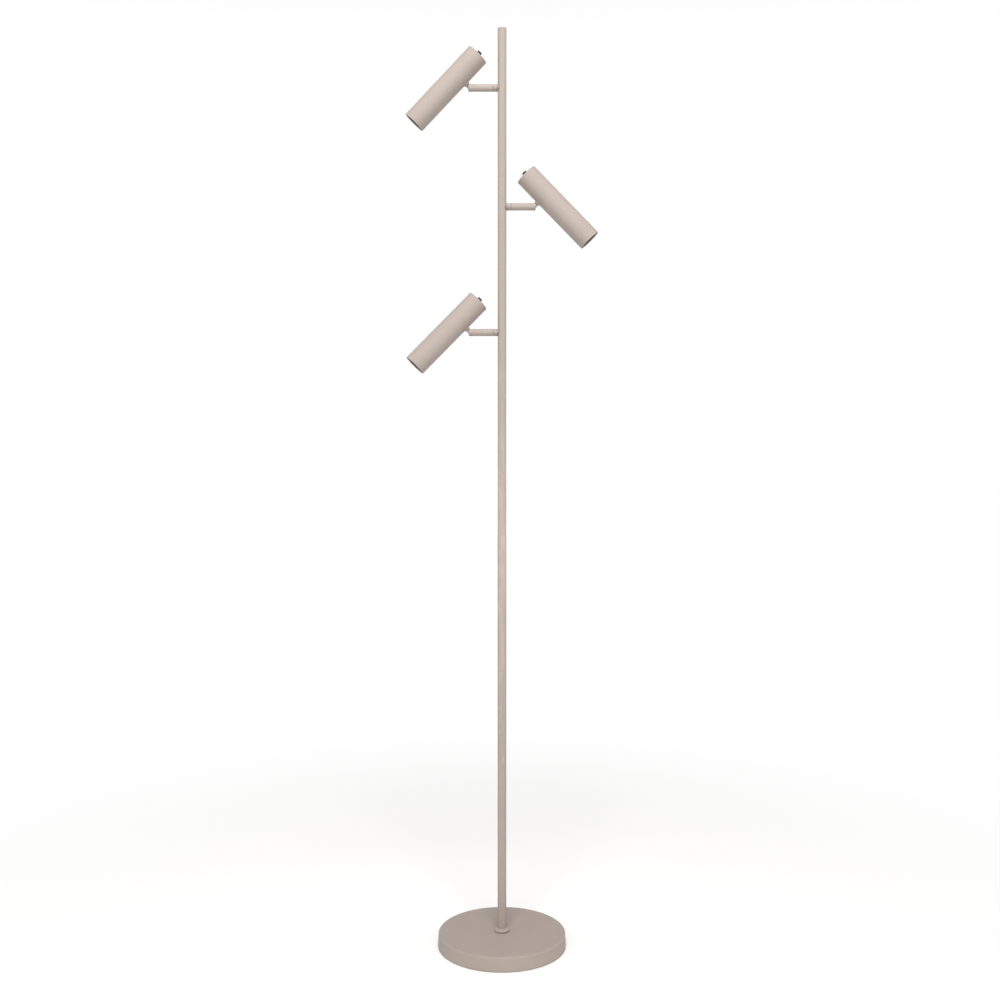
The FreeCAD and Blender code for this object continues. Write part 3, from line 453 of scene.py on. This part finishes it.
# The collar's eased corners are in mm, and the rim rolls over by shares of its edge.
collar = {"radius": 13.5, "height": 6.3, "rim": 2.6, "foot": 1.9, "gap": 0.15, "edge": 0.5,
          "footEase": 0.2, "footRise": 0.06, "lipEase": 0.15, "lipRise": 0.1,
          "rimRoll": ((0, -1), (-0.08, -0.35), (-0.4, 0.02)), "domeRows": 14}
tubeTop = pole["top"] - pole["capThickness"]
spigotEnd = tubeTop - pole["capSpigot"]
for name, radius, low, high, node in (
        ("poleLower", pole["lowerRadius"], pole["bottom"], pole["jointHeight"], "pole_lower"),
        ("poleUpper", pole["upperRadius"], pole["jointHeight"], tubeTop, "pole_upper")):
    addTurned(name, [
        (pole["bore"], low, crisp), (radius, low, pole["chamfer"]),
        (radius, high, pole["chamfer"]), (pole["bore"], high, crisp),
    ], ground, "stand", "powderCoat", [node])
addTurned("poleCap", [
    (0, spigotEnd, sharp), (pole["bore"], spigotEnd, soft), (pole["bore"], tubeTop, crisp),
    (pole["upperRadius"], tubeTop, slight), (pole["upperRadius"], pole["top"], pole["capRound"]),
    (0, pole["top"], sharp),
], ground, "stand", "powderCoat", ["pole_cap"], closed=False)


def collarLine(sizes):
    # An undercut foot, a short rim, then an arc that rises to the pole and ends level, its centre
    # under the bore's edge. Its radius is the sum of width squared and rise squared, over twice
    # the rise.
    bottom, outer = pole["bottom"], sizes["radius"]
    inner, foot = pole["lowerRadius"] + sizes["gap"], outer - sizes["foot"]
    width, rise = outer - inner, sizes["height"] - sizes["rim"]
    bend = (width ** 2 + rise ** 2) / 2 / rise
    sweep = np.linspace(math.asin(width / bend), 0, sizes["domeRows"])
    dome = np.stack([inner + bend * np.sin(sweep),
                     bottom + sizes["height"] - bend + bend * np.cos(sweep)], 1)
    lip = bottom + sizes["foot"]
    start = [[inner, bottom], [foot - sizes["footEase"], bottom],
             [foot, bottom + sizes["footRise"]],
             [outer - sizes["lipEase"], lip - sizes["lipEase"]], [outer, lip + sizes["lipRise"]]]
    roll = np.array([outer, bottom + sizes["rim"]]) + sizes["edge"] * np.array(sizes["rimRoll"])
    return np.concatenate([start, roll, dome[dome[:, 0] < outer - sizes["edge"]]])


addPiece("poleCollar", turnedGrid(collarLine(collar), segments=96), ground, "stand", "powderCoat",
         ["pole_collar"], closed=True)
print("pole made")


# Arms: a boss with a saddle on the pole, then the turning sleeve and its forked end.
boss = {"radius": 6.25, "end": 15, "bore": 3.5, "edge": 0.2, "turned": 4}
sleeve = {"radius": 6.25, "start": 15.75, "end": 50.2, "bore": 5.25, "webEnd": 22.75,
          "webBore": 3.55, "edge": 0.2}
fork = {"radius": 6.25, "start": 50.2, "end": 57.8, "spigotStart": 41.2, "spigot": 5.25,
        "edge": 0.3, "round": 1.5, "slotStart": 50.3, "slotWidth": 4.2, "seatDepth": 3.5,
        "seatRadius": 2.7, "cutReach": 9, "cutPast": 2}
# The key hole's rows are shares of the key's width, with their depths under the screw's top.
screw = {"shank": 1.5, "tip": -5, "seat": 3.5, "top": 5.3, "head": 2.5, "edge": 0.3, "key": 2,
         "keyRows": ((1.12, 0), (1.0, 0.12), (1.0, 1.05), (0.95, 1.1), (0.0, 1.1))}


def bossGrid(sizes, segments=96):
    # The outer end is a turned profile with a soft edge. Each column runs on to the pole's surface,
    # at the height that is the root of the pole's radius squared less (radius times sine) squared.
    turnedStart, steps = sizes["end"] - sizes["turned"], profile["steps"]
    outer = softLine([(sizes["bore"], turnedStart, crisp), (sizes["bore"], sizes["end"], fine),
                      (sizes["radius"], sizes["end"], sizes["edge"]),
                      (sizes["radius"], turnedStart, crisp)], True, steps)
    # Each corner gives its steps and two points more. What stays runs from the point before the
    # bore's arc to the point after the rim's.
    rings = turnedGrid(outer[steps + 1:-(steps + 3)], segments)
    around = fullTurn(segments)

    def saddle(radius):
        reach = np.sqrt(pole["upperRadius"] ** 2 - (radius * np.sin(around)) ** 2)
        return ringGrid(radius, around, reach)[None]

    return np.concatenate([saddle(sizes["bore"]), rings, saddle(sizes["radius"])])


def screwGrid(sizes, segments=72):
    # A turned socket-head screw, whose last rows are the six flats of its key hole.
    outside = softLine([
        (0, sizes["tip"], sharp), (sizes["shank"], sizes["tip"], soft),
        (sizes["shank"], sizes["seat"], crisp), (sizes["head"], sizes["seat"], fine),
        (sizes["head"], sizes["top"], sizes["edge"]), (0, sizes["top"], sharp)], False)
    around = fullTurn(segments)
    key = hexagonRadius(sizes["key"], around)
    keyRows = [ringGrid(key * share, around, sizes["top"] - depth)
               for share, depth in sizes["keyRows"]]
    return np.concatenate([turnedGrid(outside[:-1], segments), keyRows])


for name, place in places.items():
    arm = f"arm_{name}"
    addPiece(f"armBoss_{name}", bossGrid(boss), place["fixed"], "stand", "powderCoat",
             [f"arm_boss_{name}"], closed=True)
    addTurned(f"armSleeve_{name}", [
        (sleeve["webBore"], sleeve["start"], eased),
        (sleeve["radius"], sleeve["start"], sleeve["edge"]),
        (sleeve["radius"], sleeve["end"], sleeve["edge"]), (sleeve["bore"], sleeve["end"], fine),
        (sleeve["bore"], sleeve["webEnd"], fine), (sleeve["webBore"], sleeve["webEnd"], fine),
    ], place["swung"], arm, "powderCoat", [f"arm_sleeve_{name}"])
    knuckle = addTurned(f"armKnuckle_{name}", [
        (0, fork["spigotStart"], sharp), (fork["spigot"], fork["spigotStart"], soft),
        (fork["spigot"], fork["start"], crisp), (fork["radius"], fork["start"], fork["edge"]),
        (fork["radius"], fork["end"], fork["round"]), (0, fork["end"], sharp),
    ], place["swung"], arm, "powderCoat", [f"arm_knuckle_{name}"], closed=False)
    # The slot for the tongue, then the sunk seat of the screw's head, away from the viewer.
    reach, halfSlot = fork["cutReach"], fork["slotWidth"] / 2
    slotBox = boxGrid((-reach, -halfSlot, fork["slotStart"]),
                      (reach, halfSlot, fork["end"] + fork["cutPast"]))
    cutWith(knuckle, slotBox, place["swung"])
    seat = plugGrid(fork["seatRadius"], fork["seatDepth"], reach, segments=48)
    cutWith(knuckle, seat, place["screw"])
    addPiece(f"tiltScrew_{name}", screwGrid(screw), place["screw"], arm, "zincPlate",
             [f"tilt_screw_{name}"])
print("arms made")


# Heads: plain tube, inset rear disc, push switch, black baffle and reflector lamp. All but the
# neck are measured along the tube from its rear end, and the neck from the pin.
neck = {"start": 7, "radius": 4.5, "foot": 6, "spigot": 4, "spigotGap": 0.2, "spigotEnd": 15.6,
        "spigotEdge": 0.4, "ease": 0.3, "easeBulge": 0.08, "flareRows": 9}
tongue = {"half": 3.7, "thickness": 4, "pivot": 1.55, "edge": 0.25, "overlap": 0.5,
          "roundSteps": 24, "cutReach": 4}
nut = {"flats": 10, "low": -0.6, "high": 0.6, "bore": 3.5, "boreEase": 0.1,
       "cone": (0, 0.2, 0.4, 0.8), "drop": (0, 0.1, 0.2, 0.4)}
shell = {"radius": 20, "inner": 18.8, "length": 158, "edge": 0.55}
rearDisc = {"face": 0.6, "thickness": 3, "bore": 3.5, "edge": 0.5}
bush = {"radius": 3.5, "tip": -2.9, "bore": 1.85, "boreEnd": 5.1, "bodyRadius": 7,
        "bodyEnd": 21.6, "tipChamfer": 0.45, "leadDrop": 0.1, "leadLength": 0.3,
        "threadStart": -2.3, "threadEnd": 0.2, "threadPitch": 0.5, "threadDepth": 0.16,
        "threadRows": 8}
button = {"radius": 4.3, "tip": -5.7, "skirt": -2.7, "inner": 3.8, "roof": -4.5, "stalk": 1.8,
          "end": 3.5, "soft": 0.8, "dish": 0.25, "dishRows": 8, "rimRows": 7,
          "skirtEase": (0.1, 0.15)}
baffle = {"start": 131.5, "end": 155.5, "wall": 1.0, "lip": 3.3, "lipThickness": 1.5,
          "lipEase": (0.2, 0.3), "plain": 0.8, "step": 1.5, "cut": 0.35, "drop": 0.12,
          "slope": 0.8}
lens = {"back": 129.5, "front": 131.5, "radius": 17.5}
diode = {"radius": 4.8, "height": 0.9, "soft": 0.7, "sunk": 0.2}
lamp = {"back": 84.5, "neck": 11, "neckEnd": 98.5, "neckEase": 0.5, "rim": 125.5,
        "rimEase": 0.1, "radius": 17.5, "wall": 1.2, "flarePower": 0.85, "flareRows": 12,
        "floor": 5.5, "depth": 24, "facets": 24, "bowlRows": 7, "segments": 96}


def neckGrid(sizes, segments=96):
    # Flares from the tongue to the tube as a quarter ellipse, and its last row lies on the tube:
    # height is the pin's distance from the tube's axis less the root of radius squared less y
    # squared. A plain spigot goes on through the tube's wall.
    around = fullTurn(segments)
    sweep = np.linspace(0, np.pi / 2, sizes["flareRows"])[:, None]
    radius = sizes["radius"] + (sizes["foot"] - sizes["radius"]) * (1 - np.cos(sweep))
    sits = joint["headOffset"] - np.sqrt(shell["radius"] ** 2
                                         - (sizes["foot"] * np.sin(around)) ** 2)
    share = np.sin(sweep)
    height = (sizes["start"] + sizes["ease"]) * (1 - share) + sits * share
    wall = joint["headOffset"] - shell["radius"] + sizes["spigotGap"]
    begin, bulge, edge = sizes["start"], sizes["easeBulge"], sizes["spigotEdge"]
    start = [[0, begin], [sizes["radius"] - sizes["ease"], begin],
             [sizes["radius"] - bulge, begin + bulge]]
    spigot = [[sizes["spigot"], wall], [sizes["spigot"], sizes["spigotEnd"] - edge],
              [sizes["spigot"] - edge, sizes["spigotEnd"]], [0, sizes["spigotEnd"]]]
    return np.concatenate([turnedGrid(np.array(start), segments),
                           ringGrid(radius, around, height),
                           turnedGrid(np.array(spigot), segments)])


def tongueGrid(sizes):
    # A stadium outline, round about the pin and straight up to the neck, carried across its
    # thickness with a softened edge. Each side closes on a point between pin and neck.
    half, edge, side = sizes["half"], sizes["edge"], sizes["thickness"] / 2
    sweep = np.linspace(np.pi, 2 * np.pi, sizes["roundSteps"])
    top = neck["start"] + sizes["overlap"]
    outline = np.concatenate([np.stack([np.cos(sweep), np.sin(sweep)], -1) * half,
                              [[half, top], [-half, top]]])
    centre = np.array([0, neck["start"] / 2 - half / 2])
    bevel = edge / half
    rows = []
    for across, inset in ((-side, 1), (-side, bevel), (-side + edge, 0),
                          (side - edge, 0), (side, bevel), (side, 1)):
        ring = outline + (centre - outline) * inset
        rows.append(np.stack([ring[:, 0], np.full(len(ring), across), ring[:, 1]], -1))
    return np.array(rows)


def nutGrid(sizes, segments=144):
    # Hexagon with turned corners: near each face the radius is no more than the cone allows,
    # which widens from the distance of the flats with each drop from the face.
    around = fullTurn(segments)
    hexagon = hexagonRadius(sizes["flats"], around)
    cone, drop = sizes["flats"] / 2 + np.array(sizes["cone"]), np.array(sizes["drop"])
    low, high, bore, ease = sizes["low"], sizes["high"], sizes["bore"], sizes["boreEase"]
    rows = [(bore, high), (bore, low + ease), (bore + ease, low)]
    rows += [(np.minimum(hexagon, c), low + d) for c, d in zip(cone, drop)]
    rows += [(np.minimum(hexagon, c), high - d) for c, d in zip(cone[::-1], drop[::-1])]
    return np.stack([ringGrid(radius, around, height) for radius, height in rows])


def bushLine(sizes):
    # Thread as a row of even grooves: the radius dips by half a cosine at each pitch.
    count = int((sizes["threadEnd"] - sizes["threadStart"]) / sizes["threadPitch"])
    along = np.linspace(0, count, count * sizes["threadRows"] + 1)
    radius = sizes["radius"] - sizes["threadDepth"] * (0.5 - 0.5 * np.cos(2 * np.pi * along))
    thread = np.stack([radius, sizes["threadStart"] + along * sizes["threadPitch"]], 1)
    lead = [[0, sizes["boreEnd"]], [sizes["bore"], sizes["boreEnd"]],
            [sizes["bore"], sizes["tip"]], [sizes["radius"] - sizes["tipChamfer"], sizes["tip"]],
            [sizes["radius"] - sizes["leadDrop"], sizes["tip"] + sizes["leadLength"]]]
    face, back = rearDisc["face"], rearDisc["face"] + rearDisc["thickness"]
    end = [[sizes["radius"], face], [sizes["radius"], back], [sizes["bodyRadius"], back],
           [sizes["bodyRadius"], sizes["bodyEnd"]], [0, sizes["bodyEnd"]]]
    return np.concatenate([lead, thread, end])


def buttonLine(sizes):
    # The cap's face is dished by a shallow bowl, one less the radius squared, and its rim rolls
    # over in a quarter circle. The stalk goes down from the cap's roof.
    inset = sizes["radius"] - sizes["soft"]
    across = np.linspace(0, inset, sizes["dishRows"])
    face = np.stack([across, sizes["tip"] + sizes["dish"] * (1 - (across / inset) ** 2)], 1)
    sweep = np.linspace(0, np.pi / 2, sizes["rimRows"])[1:]
    roll = np.stack([inset + sizes["soft"] * np.sin(sweep),
                     sizes["tip"] + sizes["soft"] * (1 - np.cos(sweep))], 1)
    easeIn, easeUp = sizes["skirtEase"]
    under = [[sizes["radius"], sizes["skirt"] - easeUp],
             [sizes["radius"] - easeIn, sizes["skirt"]], [sizes["inner"], sizes["skirt"]],
             [sizes["inner"], sizes["roof"]], [sizes["stalk"], sizes["roof"]],
             [sizes["stalk"], sizes["end"]], [0, sizes["end"]]]
    return np.concatenate([face, roll, under])


def baffleLine(sizes, inner):
    # Saw-tooth steps down the bore: each tooth slopes in and drops back square.
    bore, lip = inner - sizes["wall"], inner - sizes["lip"]
    first, last = sizes["start"] + sizes["lipThickness"], sizes["end"] - sizes["plain"]
    count = int((last - first) / sizes["step"])
    begin = last - np.arange(count) * sizes["step"]
    teeth = np.stack([
        np.stack([np.full(count, bore), begin], 1),
        np.stack([np.full(count, bore + sizes["cut"]), begin - sizes["drop"]], 1),
        np.stack([np.full(count, bore), begin - sizes["step"] * sizes["slope"]], 1)], 1)
    easeIn, easeUp = sizes["lipEase"]
    wall = [[lip + easeIn, sizes["start"]], [inner, sizes["start"]], [inner, sizes["end"]],
            [bore, sizes["end"]]]
    ledge = [[bore, first], [lip + easeIn, first], [lip, first - easeUp],
             [lip, sizes["start"] + easeUp]]
    return np.concatenate([wall, teeth.reshape(-1, 2), ledge])


def lampGrid(sizes):
    # Outside: straight neck, then a cup that flares along a quarter sine to the rim. Inside: a
    # parabola whose radius dips between facets by the cosine of half a facet's angle. The row
    # where the bowl begins is returned too.
    flare = np.linspace(0, 1, sizes["flareRows"])
    widen = np.sin(flare * np.pi / 2) ** sizes["flarePower"]
    cup = np.stack([sizes["neck"] + (sizes["radius"] - sizes["neck"]) * widen,
                    sizes["neckEnd"] + (sizes["rim"] - sizes["neckEnd"]) * flare], 1)
    front, back, ease, rimEase = lens["back"], sizes["back"], sizes["neckEase"], sizes["rimEase"]
    rimInside = sizes["radius"] - sizes["wall"]
    depth = np.linspace(1, 0, sizes["bowlRows"])
    bowl = np.stack([sizes["floor"] + (rimInside - sizes["floor"]) * np.sqrt(depth),
                     front - sizes["depth"] * (1 - depth)], 1)
    line = np.concatenate([
        [[0, back], [sizes["neck"] - ease, back], [sizes["neck"], back + ease]], cup,
        [[sizes["radius"], front - rimEase], [sizes["radius"] - rimEase, front],
         [rimInside + rimEase, front]], bowl, [[0, front - sizes["depth"]]]])
    grid = turnedGrid(line, sizes["segments"])
    facet = 2 * np.pi / sizes["facets"]
    dip = np.cos(facet / 2) / np.cos((fullTurn(sizes["segments"]) % facet) - facet / 2)
    bowlStart = len(line) - 1 - sizes["bowlRows"]
    grid[bowlStart + 1:-1, :, :2] *= dip[None, :, None]
    return grid, bowlStart


for name in lampArms:
    place, stemPlace, head = places[name]["head"], places[name]["stem"], f"head_{name}"
    addTurned(f"headTube_{name}", [
        (shell["inner"], 0, shell["edge"]), (shell["radius"], 0, shell["edge"]),
        (shell["radius"], shell["length"], shell["edge"]),
        (shell["inner"], shell["length"], shell["edge"]),
    ], place, head, "powderCoat", [f"head_shell_{name}"], segments=160)
    face, back = rearDisc["face"], rearDisc["face"] + rearDisc["thickness"]
    addTurned(f"rearDisc_{name}", [
        (rearDisc["bore"], face, slight), (shell["inner"], face, rearDisc["edge"]),
        (shell["inner"], back, eased), (rearDisc["bore"], back, fine),
    ], place, head, "powderCoat", [f"rear_cap_{name}"], segments=128)
    addPiece(f"switchBush_{name}", turnedGrid(bushLine(bush), segments=64), place, head,
             "nickelPlate", [f"switch_body_{name}"])
    addPiece(f"switchButton_{name}", turnedGrid(buttonLine(button), segments=64), place,
             f"button_{name}", "blackPlastic", [f"switch_button_{name}"])
    addPiece(f"baffle_{name}", turnedGrid(baffleLine(baffle, shell["inner"]), segments=128),
             place, head, "blackEnamel", [f"baffle_ring_{name}"], closed=True)

    # The lamp's bowl is bright, from the row where it begins.
    grid, bowlStart = lampGrid(lamp)
    mesh = addPiece(f"lamp_{name}", grid, place, head, "lampBody", [f"lamp_{name}"]).data
    mesh.materials.append(finishes["aluminised"]["material"])
    inBowl = np.arange(len(mesh.polygons)) >= bowlStart * lamp["segments"]
    mesh.polygons.foreach_set("material_index", inBowl.astype(np.int32))
    floorLevel = lens["back"] - lamp["depth"]
    low, high = floorLevel - diode["sunk"], floorLevel + diode["height"]
    addTurned(f"diodeCap_{name}", [
        (0, low, sharp), (diode["radius"], low, fine), (diode["radius"], high, diode["soft"]),
        (0, high, sharp),
    ], place, head, "phosphor", closed=False, segments=48)

    # The stem is two pieces, neck and tongue, and the pin's hole goes through the tongue.
    addPiece(f"headNeck_{name}", neckGrid(neck), stemPlace, head, "powderCoat",
             [f"head_stem_{name}"])
    tonguePiece = addPiece(f"headTongue_{name}", tongueGrid(tongue), stemPlace, head,
                           "powderCoat", [f"head_stem_{name}"])
    tonguePiece.data.set_sharp_from_angle(angle=foldAngle)
    pinRadius, reach = tongue["pivot"], tongue["cutReach"]
    pinHole = turnedGrid(np.array([[0, -reach], [pinRadius, -reach], [pinRadius, reach],
                                   [0, reach]]), segments=48)
    cutWith(tonguePiece, pinHole @ turnAbout((1, 0, 0), 90).T, stemPlace)

    switchNut = addPiece(f"switchNut_{name}", nutGrid(nut), place, head, "nickelPlate",
                         [f"switch_nut_{name}"], closed=True)
    switchNut.data.set_sharp_from_angle(angle=foldAngle)
    addTurned(f"frontGlass_{name}", [
        (0, lens["back"], sharp), (lens["radius"], lens["back"], soft),
        (lens["radius"], lens["front"], soft), (0, lens["front"], sharp),
    ], place, head, "frontGlass", [f"lamp_lens_{name}"], closed=False)
print("heads made")


# The solid model's own nodes that stay as they are, with their real finish.
keptNodes = {
    "base_weight": "castIron", "pole_foot": "zincPlate", "foot_nut": "zincPlate",
    # The swivel washers' dark brown is partly painted shade for the seam between boss and sleeve.
    "pole_coupler": "zincPlate", "pole_harness": "leadSheath", "swivel_nipples": "zincPlate",
    "swivel_washers": "nylonAndSeamShade", "swivel_nuts": "zincPlate", "stem_nut": "zincPlate",
    "lamp_socket": "steatite",
}
for key, finishName in keptNodes.items():
    for node in [key] + [f"{key}_{name}" for name in lampArms]:
        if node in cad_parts:
            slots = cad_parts[node].data.materials
            slots.clear()
            slots.append(finishes[finishName]["material"])
print("kept nodes dressed")


# Stage: a pale floor that fades to the white of the background, and soft light. The floor's
# rings are in mm and its fade in metres from the pole; lights are in metres and watts.
floorSizes = {"rings": (0, 300, 900, 1800, 5000, 14000.0), "segments": 96, "fadeStart": 0.35,
              "fadeEnd": 1.6, "colour": "#F8F7F6", "white": "#FFFFFF"}
stageLights = {
    "highBox": {"place": (0, -2.0, 3.9), "aim": (0, 0, 1.2), "size": (1.6, 1.4),
                "power": 133, "spread": 180},
    "lowBox": {"place": (0.3, -2.4, 0.73), "aim": (0, 0, 0.69), "size": (0.35, 0.35),
               "power": 0.17, "spread": 14},
}
# How bright the room is each way. A direction's own x, y or z says where front turns to back,
# and where sides and ceiling begin.
roomLevels = {"back": 1.02, "front": 1.16, "turn": 0.2, "sides": 1.1, "sideStart": 0.42,
              "ceiling": 0.125, "ceilingStart": 0.25}
rings = np.array(floorSizes["rings"])[:, None]
floorGrid = ringGrid(rings, fullTurn(floorSizes["segments"]), 0)
floorMesh = meshFromGrid("floor", floorGrid, ground, False)
floor = bpy.data.objects.new("floor", floorMesh)
bpy.context.scene.collection.objects.link(floor)
if floorMesh.polygons[0].normal.z < 0:
    floorMesh.flip_normals()

floorFinish = bpy.data.materials.new("paleFloor")
floorFinish.use_nodes = True
tree = floorFinish.node_tree
tree.nodes.clear()
coordinates = addNode(tree, "ShaderNodeTexCoord")
distance = addNode(tree, "ShaderNodeVectorMath", {0: coordinates.outputs["Object"]},
                   operation="LENGTH")
fade = addNode(tree, "ShaderNodeMapRange", {
    "Value": distance.outputs["Value"], "From Min": floorSizes["fadeStart"],
    "From Max": floorSizes["fadeEnd"]}, interpolation_type="SMOOTHSTEP")
matt = addNode(tree, "ShaderNodeBsdfDiffuse", {"Color": linearColour(floorSizes["colour"])})
glow = addNode(tree, "ShaderNodeEmission", {
    "Color": linearColour(floorSizes["white"]), "Strength": 1.0})
blendShader = addNode(tree, "ShaderNodeMixShader", {
    0: fade.outputs[0], 1: matt.outputs[0], 2: glow.outputs[0]})
addNode(tree, "ShaderNodeOutputMaterial", {"Surface": blendShader.outputs[0]})
floorMesh.materials.append(floorFinish)

for name, light in stageLights.items():
    lightData = bpy.data.lights.new(name, "AREA")
    lightData.shape = "RECTANGLE"
    lightData.size, lightData.size_y = light["size"]
    lightData.energy = light["power"]
    lightData.spread = math.radians(light["spread"])
    lightObject = bpy.data.objects.new(name, lightData)
    bpy.context.scene.collection.objects.link(lightObject)
    lightObject.location = light["place"]
    # A light shines down its own -Z: tipped from straight down to the aim, then turned to it.
    x, y, z = np.array(light["aim"], float) - np.array(light["place"], float)
    lightObject.rotation_euler = (
        math.atan2(math.hypot(x, y), -z), 0, math.atan2(x, -y) + math.pi)

# The room: a level from front to back, then sides, then the dim ceiling above them.
world = bpy.data.worlds.new("studioWorld")
bpy.context.scene.world = world
world.use_nodes = True
tree = world.node_tree
tree.nodes.clear()
direction = addNode(tree, "ShaderNodeTexCoord")
parts = addNode(tree, "ShaderNodeSeparateXYZ", {0: direction.outputs["Generated"]})
sideways = addNode(tree, "ShaderNodeMath", {0: parts.outputs[0]}, operation="ABSOLUTE")
depth = addNode(tree, "ShaderNodeMapRange", {
    "Value": parts.outputs[1], "From Min": -roomLevels["turn"], "From Max": roomLevels["turn"],
    "To Min": roomLevels["front"], "To Max": roomLevels["back"]})
wall = addNode(tree, "ShaderNodeMapRange", {
    "Value": sideways.outputs[0], "From Min": roomLevels["sideStart"], "From Max": 1.0,
    "To Min": depth.outputs[0], "To Max": roomLevels["sides"]})
level = addNode(tree, "ShaderNodeMapRange", {
    "Value": parts.outputs[2], "From Min": roomLevels["ceilingStart"], "From Max": 1.0,
    "To Min": wall.outputs[0], "To Max": roomLevels["ceiling"]})
sky = addNode(tree, "ShaderNodeBackground", {
    "Color": linearColour(floorSizes["white"]), "Strength": level.outputs[0]})
addNode(tree, "ShaderNodeOutputWorld", {"Surface": sky.outputs[0]})
bpy.context.scene.view_settings.view_transform = "Standard"
print("stage made")
